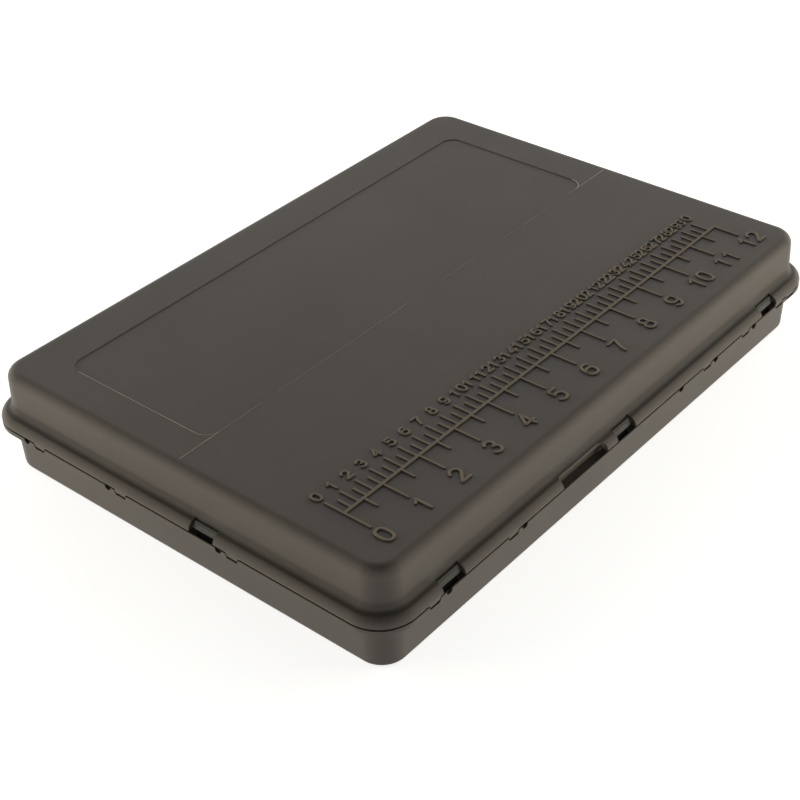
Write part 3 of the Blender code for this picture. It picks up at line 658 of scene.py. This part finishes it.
def panel_cut():
    left, right, front, back = PANEL
    corners = [(x, y, PANEL_RADIUS) for x, y in ((left, front), (right, front), (right, back), (left, back))]
    return prism("panel", rounded(corners, closed=True), TOP - PANEL_RECESS, TOP + OVERRUN)


def knuckle_meshes(of_lid):
    """Barrels and arms of both hinges, placed by the pins. The lid has every second barrel."""
    sign = 1 if of_lid else -1
    near = LID_ARM_REACH if of_lid else TRAY_ARM_REACH
    arm_end = ARM_START + ARM_THICKNESS
    start = math.degrees(math.asin(ARM_START / KNUCKLE_RADIUS))
    end = math.degrees(math.asin(arm_end / KNUCKLE_RADIUS))
    outline = [(y, sign * z) for y, z in arc((0, 0), KNUCKLE_RADIUS, -180 - start, 180 - end, KNUCKLE_STEPS)]
    outline += [(-near, sign * arm_end), (-near, sign * ARM_START)]
    meshes = []
    for low, high in PIN_BOXES:
        centre = (low + high) / 2 / MM
        for index in range(1 if of_lid else 0, KNUCKLES, 2):
            x = centre.x + (index - (KNUCKLES - 1) / 2) * KNUCKLE_PITCH
            mesh = tube_prism("knuckle", outline, KNUCKLE_BORE, -KNUCKLE_HALF_LENGTH, KNUCKLE_HALF_LENGTH)
            place = Matrix.Translation((x * MM, centre.y * MM, centre.z * MM)) @ ENDWISE
            meshes.append(moved(mesh, place))
    return meshes


def lid_rib():
    """The rib inside the lid that runs from one short side to the other."""
    half = HALF_LENGTH - RIB_INSET
    centre = (half - RIB_CORNER_RADIUS, TOP - RIB_CORNER_DROP)
    right = [(half, RIB_FOOT)] + arc(centre, RIB_CORNER_RADIUS, 0, 90, RIB_CORNER_STEPS)
    outline = right + [(-x, z) for x, z in reversed(right)]
    return moved(prism("rib", outline, -RIB_HALF_WIDTH, RIB_HALF_WIDTH), UPRIGHT)


def rim_places(front_places, side_places):
    """Side and place along it, for what stands on the front and mirrored on both short sides."""
    places = [("front", along) for along in front_places]
    for along in side_places:
        places += [("left", along), ("right", -along)]
    return places


def slots():
    """Side, place along it and depth of each slot in the rim's lip."""
    depths = {"front": FRONT_SLOT_DEPTH, "left": SIDE_SLOT_DEPTH, "right": SIDE_SLOT_DEPTH}
    return [(side, along, depths[side]) for side, along in rim_places(FRONT_SLOTS, SIDE_SLOTS)]


def slot_outline(depth, gap, low, high):
    """A slot with slanted ends, drawn in by a gap, between two levels measured from the lip's top."""
    slope = SLOT_SLANT / depth
    half = SLOT_LENGTH / 2 - gap
    right = [(half + slope * low, low), (half + slope * high, high)]
    return right + [(-x, y) for x, y in reversed(right)]


def tab_meshes():
    """Tabs that hang from the lid's flange into the slots."""
    meshes = []
    for side, along, depth in slots():
        tab = prism("tab", slot_outline(depth, TAB_END_GAP, TAB_FOOT_GAP - depth, TAB_TOP), *TAB_REACHES)
        meshes.append(moved(tab, placed(side, along, LIP_TOP) @ UPRIGHT))
    return meshes


def make_lid(material):
    lid = add("lid_shell", swept("lid_shell", lid_section()))
    notch, recess = notch_meshes()
    cut(lid, "DIFFERENCE", merged("lid_cuts", catch_cutout_meshes() + [notch]))
    cut(lid, "DIFFERENCE", recess)
    cut(lid, "DIFFERENCE", panel_cut())
    cut(lid, "UNION", merged("joins", knuckle_meshes(True) + [lid_rib()] + tab_meshes()))
    dress(lid, "lid", material, ["lid"], edge=LID_EDGES)


def lip_cuts():
    """Half-round notches and slots in the rim's lip, and the pockets of the catches."""
    reaches = (FLANGE_REACH - LIP_CUT_WIDTH, FLANGE_REACH + OVERRUN)
    dip = arc((0, 0), HALF_ROUND_RADIUS, 180, 360, HALF_ROUND_STEPS)
    dip += [(HALF_ROUND_RADIUS, OVERRUN), (-HALF_ROUND_RADIUS, OVERRUN)]
    dip_mesh = prism("dip", dip, *reaches)
    dips = rim_places(FRONT_HALF_ROUNDS, SIDE_HALF_ROUNDS)
    meshes = [moved(dip_mesh, placed(side, along, LIP_TOP) @ UPRIGHT) for side, along in dips]
    for side, along, depth in slots():
        slot_mesh = prism("slot", slot_outline(depth, 0.0, -depth, OVERRUN), *reaches)
        meshes.append(moved(slot_mesh, placed(side, along, LIP_TOP) @ UPRIGHT))
    near, far = POCKET_REACHES
    low = (-POCKET_HALF_LENGTH, -far, POCKET_UNDER)
    pocket = box("pocket", low, (POCKET_HALF_LENGTH, -near, POCKET_TOP))
    for name, side in CATCHES.items():
        meshes.append(moved(pocket, placed(side, along_of(name, side))))
    return merged("lip_cuts", meshes)


def ear_meshes():
    """Ears under the rim that carry the catches' stub axles."""
    meshes = []
    root, front = EAR_REACHES
    outline = [(root, EAR_TOP), (front, EAR_TOP), (front, CATCH_PIVOT[1])]
    outline += arc(CATCH_PIVOT, EAR_RADIUS, *EAR_ARC) + [(root, EAR_FOOT)]
    hole = circle(CATCH_PIVOT, EAR_HOLE, ROUND_SIDES)
    for name, side in CATCHES.items():
        for sign in (-1, 1):
            along = along_of(name, side) + sign * EAR_OFFSET
            block = add("ear", prism("ear", outline, -EAR_HALF_WIDTH, EAR_HALF_WIDTH))
            cut(block, "DIFFERENCE", prism("hole", hole, -OVERRUN, OVERRUN))
            meshes.append(moved(baked(block), placed(side, along) @ OUTWARDS))
    return meshes


def groove_places():
    """Places along the tray at which dividers can stand."""
    return [(index - (GROOVES - 1) / 2) * GROOVE_PITCH for index in range(GROOVES)]


def rib_corners(x, root, tip):
    """Corners of the two ribs beside a groove, from left to right."""
    corners = []
    for start in RIB_STARTS:
        left = x + start
        corners += [(left, root), (left, tip), (left + RIB_WIDTH, tip), (left + RIB_WIDTH, root)]
    return corners


def partition_meshes():
    """Partitions with their ribs. The first has none on its front face."""
    meshes = []
    half = HALF_LENGTH - WALL
    for y, front_ribs in zip(PARTITIONS_Y, (False, True, True)):
        front, back = y - PARTITION / 2, y + PARTITION / 2
        outline = [(-half, front)]
        if front_ribs:
            for x in groove_places():
                outline += rib_corners(x, front, y - RIB_REACH)
        outline += [(half, front), (half, back)]
        for x in reversed(groove_places()):
            outline += reversed(rib_corners(x, back, y + RIB_REACH))
        outline.append((-half, back))
        meshes.append(prism("partition", outline, INSIDE_FOOT, PARTITION_TOP))
    return meshes


def back_rib_meshes():
    """Ribs on the back wall, and a seat between each pair of them."""
    meshes = []
    for x in groove_places():
        parts = [("rib", x + start, x + start + RIB_WIDTH, BACK_RIB_FRONT) for start in RIB_STARTS]
        parts.append(("seat", x - GROOVE_HALF_WIDTH, x + GROOVE_HALF_WIDTH, BACK_SEAT_FRONT))
        for name, left, right, front in parts:
            meshes.append(box(name, (left, front, INSIDE_FOOT), (right, BACK_RIB_ROOT, PARTITION_TOP)))
    return meshes


def make_tray(material):
    tray = add("tray_shell", swept("tray_shell", tray_section()))
    cut(tray, "UNION", merged("inside", partition_meshes()))
    cut(tray, "UNION", merged("back_ribs", back_rib_meshes()), self_overlap=True)
    cut(tray, "UNION", merged("fittings", knuckle_meshes(False) + ear_meshes()))
    cut(tray, "DIFFERENCE", lip_cuts())
    dress(tray, "tray", material, ["tray"], edge=TRAY_EDGES)


def catch_profile():
    """Section of the catch: up the arm's front, out over the nose, round the head and down the back."""
    back, front = ARM_REACHES
    return rounded([
        (back, ARM_FOOT, 0),
        (front, ARM_FOOT, 0),
        (front, 29.6, 0.6),
        (2.0, 30.9, 0.4),
        (3.5, 30.15, 0.15),
        (4.0, 30.6, 0.12),
        (3.85, 31.0, 0.3),
        (3.05, 32.7, 0.12),
        (2.0, 33.7, 0.2),
        (1.15, 33.5, 0.35),
        (0.75, 32.9, 0.25),
        (0.75, 32.3, 0.15),
        (back, 32.3, 0.1),
    ], closed=True)


def make_catch(name, side, material, arm_shade_material):
    profile = catch_profile()
    head = [(u, v) for u, v in profile if v > HEAD_FOOT] + [(reach, HEAD_FOOT) for reach in HEAD_FOOT_REACHES]
    barrel = circle(CATCH_PIVOT, BARREL_RADIUS, ROUND_SIDES)
    axle = circle(CATCH_PIVOT, AXLE_RADIUS, ROUND_SIDES)
    catch = add(name + "_shell", moved(prism("arm", profile, -ARM_HALF_WIDTH, ARM_HALF_WIDTH), OUTWARDS))
    for outline, half in ((head, HEAD_HALF_WIDTH), (barrel, ARM_HALF_WIDTH), (axle, AXLE_HALF_LENGTH)):
        cut(catch, "UNION", moved(prism("part", outline, -half, half), OUTWARDS))
    catch.data.transform(placed(side, along_of(name, side)))
    dress(catch, name, material, [name], edge=FITTING_EDGES)
    # Painted shade: the faces of the arm below the head get a near-black matte material.
    catch.data.materials.append(arm_shade_material)
    for face in catch.data.polygons:
        if face.center.z < HEAD_FOOT * MM:
            face.material_index = 1


def ruler_comb():
    """Baseline and ticks as one outline, run round from the zero end."""
    half = LINE_WIDTH / 2
    near = RULER_Y - BASELINE_WIDTH / 2
    far = RULER_Y + BASELINE_WIDTH / 2
    front = [(RULER_START - half, RULER_Y - INCH_TICK)]
    for mark in range(2 * INCHES + 1):
        x = RULER_START + mark * INCH / 2
        reach = HALF_INCH_TICK if mark % 2 else INCH_TICK
        if mark:
            front += [(x - half, near), (x - half, RULER_Y - reach)]
        front.append((x + half, RULER_Y - reach))
        if mark < 2 * INCHES:
            front.append((x + half, near))
    end = RULER_START + INCHES * INCH
    back = [(end + half, far)]
    for mark in range(2 * CENTIMETRES, -1, -1):
        x = RULER_START + mark * CENTIMETRE / 2
        reach = HALF_CM_TICK if mark % 2 else CM_TICK
        back += [(x + half, far), (x + half, RULER_Y + reach), (x - half, RULER_Y + reach)]
        if mark:
            back.append((x - half, far))
    return front + back


def make_ruler(material):
    ruler = add("ruler", prism("ruler", ruler_comb(), TOP - RULER_SUNK, TOP + RULER_RELIEF))
    dress(ruler, "lid", material, edge=RULER_EDGES, steps=3)


def new_curve(name, radius, roundness):
    """A curve that is drawn as a round stroke."""
    curve = bpy.data.curves.new(name, "CURVE")
    curve.dimensions = "3D"
    curve.bevel_depth = radius * MM
    curve.bevel_resolution = roundness
    return curve


def add_line(curve, points, height, closed=False):
    """A straight-sided line through points (x, y, share of the stroke's radius) at one height."""
    spline = curve.splines.new("POLY")
    spline.points.add(len(points) - 1)
    for point, (x, y, share) in zip(spline.points, points):
        point.co = (x * MM, y * MM, height * MM, 1.0)
        point.radius = share
    spline.use_cyclic_u = closed


def make_top_lines(material):
    """The mould line across the lid and the fine bead along the near edges of the panel, both painted paler
    than the shell as a painted highlight.
    """
    left, right, front, back = PANEL
    half = HALF_LENGTH - MOULD_LINE_INSET
    mould_line = [(-half, front), (half, front)]
    panel_edge = [(left, back - PANEL_RADIUS)]
    for x, start in ((left + PANEL_RADIUS, 180), (right - PANEL_RADIUS, 270)):
        panel_edge += arc((x, front + PANEL_RADIUS), PANEL_RADIUS, start, start + 90, BEAD_CORNER_STEPS)
    beads = []
    for name, points in (("mould_line", mould_line), ("panel_edge", panel_edge)):
        curve = new_curve(name, BEAD_WIDTH / 2, BEAD_ROUNDNESS)
        add_line(curve, [(x, y, 1.0) for x, y in points], TOP - BEAD_WIDTH / 2 + BEAD_RELIEF)
        beads.append(apply_curve(add(name, curve)))
    for bead in beads:
        dress(bead, "lid", material)


def in_cell(points, centre, size):
    """Points of a numeral's unit cell, brought to its place and size on the lid."""
    height, width, radius = size
    across, up = (width - 2 * radius), (height - 2 * radius)
    return [Vector((centre[0] + x * across / DIGIT_WIDTH, centre[1] + (y - 0.5) * up)) for x, y in points]


def digit_strokes(digit):
    """Open lines and closed rings of a numeral, in a cell 1 high and about 0.62 wide round x = 0."""
    lines = {
        "0": [],
        "1": [[(0.08, 0.0), (0.08, 1.0)], [(0.08, 0.97), (-0.16, 0.77)]],
        "2": [arc((0, 0.7), 0.3, 165, -38, 14) + [(-0.28, 0.02)], [(-0.28, 0.0), (0.31, 0.0)]],
        "3": [arc((-0.02, 0.75), 0.25, 155, -80, 14), arc((-0.02, 0.27), 0.27, 80, -155, 16)],
        "4": [[(0.12, 0.0), (0.12, 1.0)], [(0.12, 0.97), (-0.3, 0.3)], [(-0.3, 0.28), (0.32, 0.28)]],
        "5": [
            [(0.27, 1.0), (-0.2, 1.0)],
            [(-0.2, 0.98), (-0.25, 0.52)] + arc((-0.02, 0.32), 0.32, 125, -150, 18),
        ],
        "6": [[(-0.3, 0.33), (-0.29, 0.6), (-0.21, 0.85), (-0.04, 0.98), (0.14, 0.98), (0.26, 0.86)]],
        "7": [[(-0.28, 1.0), (0.3, 1.0)], [(0.3, 0.98), (0.05, 0.5), (-0.1, 0.0)]],
        "8": [],
        "9": [[(0.3, 0.67), (0.29, 0.4), (0.21, 0.15), (0.04, 0.02), (-0.14, 0.02), (-0.26, 0.14)]],
    }
    rings = {
        "0": [oval((0, 0.5), 0.30, 0.5)],
        "6": [oval((0, 0.31), 0.3, 0.31)],
        "8": [oval((0, 0.76), 0.22, 0.24), oval((0, 0.27), 0.28, 0.27)],
        "9": [oval((0, 0.69), 0.3, 0.31)],
    }
    return lines[digit], rings.get(digit, [])


def round_ends(line, radius):
    """The open line as (x, y, share of the radius), with more points at both ends that round them off."""
    out = (line[0] - line[1]).normalized() * radius
    start = [(*(line[0] + out * (1 - along)), share) for along, share in STROKE_END]
    out = (line[-1] - line[-2]).normalized() * radius
    end = [(*(line[-1] + out * (1 - along)), share) for along, share in reversed(STROKE_END)]
    return start + [(*point, 1.0) for point in line[1:-1]] + end


def make_numerals(name, numbers, pitch, middle_y, size, material, shift=0.0):
    """Numerals centred on their ticks, drawn as half-sunk strokes with flattened tops and round ends."""
    _, width, radius = size
    curve = new_curve(name, radius, NUMERAL_ROUNDNESS)
    curve.use_fill_caps = True
    for number in numbers:
        text = str(number)
        for place, digit in enumerate(text):
            offset = (place - (len(text) - 1) / 2) * (width * NUMERAL_ADVANCE)
            centre = (RULER_START + shift + number * pitch + offset, middle_y)
            lines, rings = digit_strokes(digit)
            for ring in rings:
                add_line(curve, [(*point, 1.0) for point in in_cell(ring, centre, size)], TOP, closed=True)
            for line in lines:
                add_line(curve, round_ends(in_cell(line, centre, size), radius), TOP)
    numerals = apply_curve(add(name, curve))
    mesh = numerals.data
    for vertex in mesh.vertices:
        share = min(1.0, (vertex.co.z / MM - TOP) / radius * NUMERAL_FLATNESS)
        vertex.co.z = (TOP + share * NUMERAL_RELIEF) * MM
    mesh.shade_smooth()
    mesh.materials.clear()
    mesh.materials.append(material)
    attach(numerals, "lid")


def fill(tree, socket, value):
    """Links an output to the socket, or writes a number or a colour there."""
    if hasattr(value, "is_linked"):
        tree.links.new(value, socket)
    elif socket.type == "RGBA":
        socket.default_value = (*value, 1.0)
    else:
        socket.default_value = value


def mixed_colour(tree, factor, first, second):
    """A colour between two others, by the colour sockets of a Mix node."""
    node = tree.nodes.new("ShaderNodeMix")
    node.data_type = "RGBA"
    for index, value in zip(MIX_COLOUR_INPUTS, (factor, first, second)):
        fill(tree, node.inputs[index], value)
    return node.outputs[MIX_COLOUR_OUTPUT]


class Nodes:
    """Short calls for a material's node tree."""

    def __init__(self, name):
        self.material = bpy.data.materials.new(name)
        self.material.use_nodes = True
        self.tree = self.material.node_tree
        self.shader = self.tree.nodes["Principled BSDF"]

    def place(self):
        return self.add("ShaderNodeTexCoord").outputs["Object"]

    def add(self, kind, **inputs):
        node = self.tree.nodes.new(kind)
        for key, value in inputs.items():
            fill(self.tree, node.inputs[key.replace("_", " ")], value)
        return node

    def noise(self, coordinates, pattern):
        scale, detail, roughness = pattern
        node = self.add("ShaderNodeTexNoise", Scale=scale, Detail=detail, Roughness=roughness)
        self.tree.links.new(coordinates, node.inputs["Vector"])
        return node.outputs["Fac"]

    def ramp(self, value, stops):
        """A grey ramp between two stops."""
        node = self.add("ShaderNodeValToRGB", Fac=value)
        for element, (place, level) in zip(node.color_ramp.elements, stops):
            element.position = place
            element.color = (level, level, level, 1.0)
        return node.outputs["Color"]

    def math(self, operation, *values):
        node = self.add("ShaderNodeMath")
        node.operation = operation
        for socket, value in zip(node.inputs, values):
            fill(self.tree, socket, value)
        return node.outputs[0]

    def mix(self, factor, first, second):
        return mixed_colour(self.tree, factor, first, second)

    def rise(self, place, low, high):
        """Runs from 0 to 1 between two levels of the object's height, in millimetres."""
        height = self.add("ShaderNodeSeparateXYZ", Vector=place).outputs["Z"]
        node = self.add("ShaderNodeMapRange", Value=height)
        node.inputs["From Min"].default_value = low * MM
        node.inputs["From Max"].default_value = high * MM
        return node.outputs[0]

    def bump(self, height, strength, distance, normal=None):
        node = self.add("ShaderNodeBump", Strength=strength, Distance=distance, Height=height)
        if normal:
            self.tree.links.new(normal, node.inputs["Normal"])
        return node.outputs["Normal"]

    def set(self, **inputs):
        for key, value in inputs.items():
            fill(self.tree, self.shader.inputs[key.replace("_", " ")], value)


def plastic(name, colour, roughness, grain, foot=None, highlight_bands=(), cove_shade=None, gloss=0.5):
    """Moulded plastic with fine grain, slow waves in its surface, smudges and pale specks in its colour, and
    where asked painted shade at a foot, painted highlight lines in bands and painted shade in a cove.
    """
    nodes = Nodes(name)
    place = nodes.place()
    darker = tuple(c * (1 - TINT_SPREAD) for c in colour)
    lighter = tuple(c * (1 + TINT_SPREAD) for c in colour)
    pale = tuple(min(1.0, c * SPECK_LIFT + SPECK_BASE) for c in colour)
    base = nodes.mix(nodes.ramp(nodes.noise(place, TINT_NOISE), TINT_RAMP), darker, lighter)
    speck = nodes.ramp(nodes.noise(place, SPECK_NOISE), SPECK_RAMP)
    base = nodes.mix(nodes.math("MULTIPLY", speck, SPECK_STRENGTH), base, pale)
    # Painted shade: the colour goes darker towards the foot of a raised stroke, below a height.
    if foot:
        foot_shade_colour, low, high = foot
        base = nodes.mix(nodes.rise(place, low, high), foot_shade_colour, base)
    # Painted highlight: thin bands of a paler colour, broken up by noise, along the flange's lower edge and
    # the lip's top edge.
    for low, high in highlight_bands:
        rises = nodes.rise(place, low - HIGHLIGHT_FADE, low)
        band = nodes.math("MULTIPLY", rises, nodes.rise(place, high + HIGHLIGHT_FADE, high))
        patchy = nodes.ramp(nodes.noise(place, HIGHLIGHT_NOISE), HIGHLIGHT_RAMP)
        base = nodes.mix(nodes.math("MULTIPLY", band, patchy), base, EDGE_HIGHLIGHT_COLOUR)
    # Painted shade: the colour goes darker, in clouds, in a band over the cove between the lid's wall and its
    # flange, fading out up the wall.
    if cove_shade:
        low, high, faded_at = cove_shade
        rises = nodes.rise(place, low - COVE_SHADE_FADE, low)
        band = nodes.math("MULTIPLY", rises, nodes.rise(place, faded_at, high))
        cloudy = nodes.ramp(nodes.noise(place, COVE_SHADE_NOISE), COVE_SHADE_RAMP)
        base = nodes.mix(nodes.math("MULTIPLY", band, cloudy), base, COVE_SHADE_COLOUR)
    smudges = nodes.noise(place, SMUDGE_NOISE)
    rough = nodes.math("MULTIPLY_ADD", smudges, SMUDGE_SPREAD, roughness - SMUDGE_SPREAD / 2)
    wave = nodes.bump(nodes.noise(place, WAVE_NOISE), WAVE_STRENGTH, WAVE_DEPTH)
    normal = nodes.bump(nodes.noise(place, GRAIN_NOISE), grain, GRAIN_DEPTH, wave)
    nodes.set(Base_Color=base, Roughness=rough, Normal=normal, IOR=PLASTIC_IOR, Specular_IOR_Level=gloss)
    return nodes.material


def steel(name):
    """Drawn wire with fine lengthwise lines."""
    nodes = Nodes(name)
    stretch = nodes.add("ShaderNodeMapping", Vector=nodes.place(), Scale=WIRE_STRETCH)
    lines = nodes.noise(stretch.outputs[0], WIRE_NOISE)
    base = nodes.mix(lines, *WIRE_COLOURS)
    rough = nodes.math("MULTIPLY_ADD", lines, WIRE_ROUGHNESS_SPREAD, WIRE_ROUGHNESS)
    normal = nodes.bump(lines, WIRE_LINE_STRENGTH, WIRE_LINE_DEPTH)
    nodes.set(Base_Color=base, Metallic=1.0, Roughness=rough, Normal=normal)
    return nodes.material


def joined_faces(name, node):
    """A copy of a CAD node's mesh, with triangles joined into flat faces so that edges can be softened."""
    shape = bmesh.new()
    shape.from_mesh(node.data)
    bmesh.ops.remove_doubles(shape, verts=shape.verts, dist=WELD_DISTANCE * MM)
    flat = math.radians(FLAT_ANGLE)
    bmesh.ops.dissolve_limit(shape, angle_limit=flat, verts=shape.verts, edges=shape.edges)
    return mesh_from(name, shape)


def make_dividers_and_pins(divider_material, pin_material):
    """Dividers are copies of their solids with softened edges. Pins are the solids themselves."""
    for name, node in list(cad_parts.items()):
        if name.startswith("divider"):
            plate = add(name + "_plate", joined_faces(name + "_plate", node))
            dress(plate, name, divider_material, [name], edge=FITTING_EDGES)
        elif name.startswith("hinge_pin"):
            node.material_slots[0].material = pin_material


def make_camera():
    camera = add("camera", bpy.data.cameras.new("camera"))
    back = -FORWARD.normalized()
    right = (RIGHT - back * RIGHT.dot(back)).normalized()
    up = back.cross(right)
    matrix = Matrix((right, up, back)).transposed().to_4x4()
    matrix.translation = EYE
    camera.matrix_world = matrix
    camera.data.sensor_width = SENSOR
    camera.data.lens = LENS
    camera.data.clip_start = CLIP_START
    camera.data.clip_end = CLIP_END
    bpy.context.scene.camera = camera


def make_lights():
    """Two long low soft boxes, each raking along one of the walls that the camera sees."""
    for name, place, power in zip(("left_box", "right_box"), LIGHT_PLACES, LIGHT_POWERS):
        light = bpy.data.lights.new(name, "AREA")
        light.shape = "RECTANGLE"
        light.size, light.size_y = LIGHT_SIZE
        light.energy = power
        light.color = LIGHT_COLOUR
        obj = add(name, light)
        obj.location = place
        obj.rotation_euler = (Vector(LIGHT_TARGET) - Vector(place)).to_track_quat("-Z", "Y").to_euler()
        obj.visible_glossy = False


def background_seen(tree):
    """Is 1 for rays that see the background: from the camera, off gloss or through glass."""
    paths = tree.nodes.new("ShaderNodeLightPath")
    seen = paths.outputs["Is Camera Ray"]
    for kind in ("Is Glossy Ray", "Is Transmission Ray"):
        either = tree.nodes.new("ShaderNodeMath")
        either.operation = "MAXIMUM"
        tree.links.new(seen, either.inputs[0])
        tree.links.new(paths.outputs[kind], either.inputs[1])
        seen = either.outputs[0]
    return seen


def make_floor():
    """A pale floor that keeps the object's shadow and runs out into the white background."""
    shape = bmesh.new()
    bmesh.ops.create_circle(shape, cap_ends=True, segments=FLOOR_SIDES, radius=FLOOR_RADIUS)
    floor = add("floor", mesh_from("floor", shape))
    floor.location.z = -FLOOR_DROP
    nodes = Nodes("floor")
    colour = nodes.mix(nodes.noise(nodes.place(), FLOOR_NOISE), *FLOOR_COLOURS)
    glow = nodes.math("MULTIPLY", background_seen(nodes.tree), FLOOR_GLOW)
    nodes.set(Base_Color=colour, Roughness=FLOOR_ROUGHNESS, Emission_Color=WHITE, Emission_Strength=glow)
    floor.data.materials.append(nodes.material)


def smooth_level(tree, value, span, levels):
    """A level that follows a value smoothly over a span."""
    node = tree.nodes.new("ShaderNodeMapRange")
    node.interpolation_type = "SMOOTHSTEP"
    for key, number in zip(("From Min", "From Max", "To Min", "To Max"), (*span, *levels)):
        node.inputs[key].default_value = number
    tree.links.new(value, node.inputs["Value"])
    return node.outputs[0]


def make_world():
    """A white backdrop under a dim ceiling. Rays that don't see the background meet the darker room too."""
    world = bpy.data.worlds.new("studio")
    bpy.context.scene.world = world
    world.use_nodes = True
    tree = world.node_tree
    background = tree.nodes["Background"]
    seen_from = tree.nodes.new("ShaderNodeTexCoord").outputs["Generated"]
    direction = tree.nodes.new("ShaderNodeSeparateXYZ")
    tree.links.new(seen_from, direction.inputs[0])
    around = smooth_level(tree, direction.outputs["Z"], (BACKDROP_END, CEILING_START), (1.0, CEILING))
    behind = tree.nodes.new("ShaderNodeVectorMath")
    behind.operation = "DOT_PRODUCT"
    tree.links.new(seen_from, behind.inputs[0])
    behind.inputs[1].default_value = BACKDROP_DIRECTION
    sweep = smooth_level(tree, behind.outputs["Value"], ROOM_SPAN, (ROOM, 1.0))
    both = tree.nodes.new("ShaderNodeMath")
    both.operation = "MULTIPLY"
    tree.links.new(around, both.inputs[0])
    tree.links.new(sweep, both.inputs[1])
    level = tree.nodes.new("ShaderNodeMix")
    tree.links.new(background_seen(tree), level.inputs["Factor"])
    tree.links.new(both.outputs[0], level.inputs["A"])
    tree.links.new(around, level.inputs["B"])
    tree.links.new(level.outputs[0], background.inputs["Strength"])
    tree.links.new(mixed_colour(tree, around, CEILING_COLOUR, WHITE), background.inputs["Color"])


def main():
    bpy.context.scene.view_settings.view_transform = "Standard"
    make_camera()
    make_world()
    make_lights()
    make_floor()
    # The shell's plastic carries painted highlight lines along its edges and painted shade in the cove.
    shell = plastic("shell_plastic", SHELL_COLOUR, roughness=0.50, grain=0.22, gloss=0.42,
                    highlight_bands=HIGHLIGHT_BANDS, cove_shade=COVE_SHADE_BAND)
    # The strokes are painted paler than the shell for their lit slopes, with painted shade at their foot.
    stroke_lit_and_shaded = plastic("stroke_plastic_lit_and_shaded", LIT_STROKE_COLOUR, roughness=0.66, grain=0.22, foot=STROKE_FOOT_SHADE)
    # The beads are painted paler than the shell, a painted highlight.
    bead_highlight_plastic = plastic("bead_highlight_plastic", BEAD_HIGHLIGHT_COLOUR, roughness=0.5, grain=0.22)
    catch_plastic = plastic("catch_plastic", CATCH_COLOUR, roughness=0.32, grain=0.15)
    # Near-black matte plastic for the painted shade on the catch's arm.
    arm_shade_plastic = plastic("arm_shade_plastic", CATCH_ARM_SHADE_COLOUR, roughness=0.85, grain=0.08, gloss=0.1)
    divider_plastic = plastic("divider_plastic", DIVIDER_COLOUR, roughness=0.40, grain=0.15)
    make_lid(shell)
    make_tray(shell)
    make_ruler(stroke_lit_and_shaded)
    make_top_lines(bead_highlight_plastic)
    make_numerals("inch_numerals", range(INCHES + 1), INCH, INCH_NUMERAL_Y, INCH_NUMERAL, stroke_lit_and_shaded)
    make_numerals("cm_numerals", range(CENTIMETRES + 1), CENTIMETRE, CM_NUMERAL_Y, CM_NUMERAL, stroke_lit_and_shaded,
                  CM_NUMERAL_SHIFT)
    for name, side in CATCHES.items():
        make_catch(name, side, catch_plastic, arm_shade_plastic)
    make_dividers_and_pins(divider_plastic, steel("pin_steel"))


main()
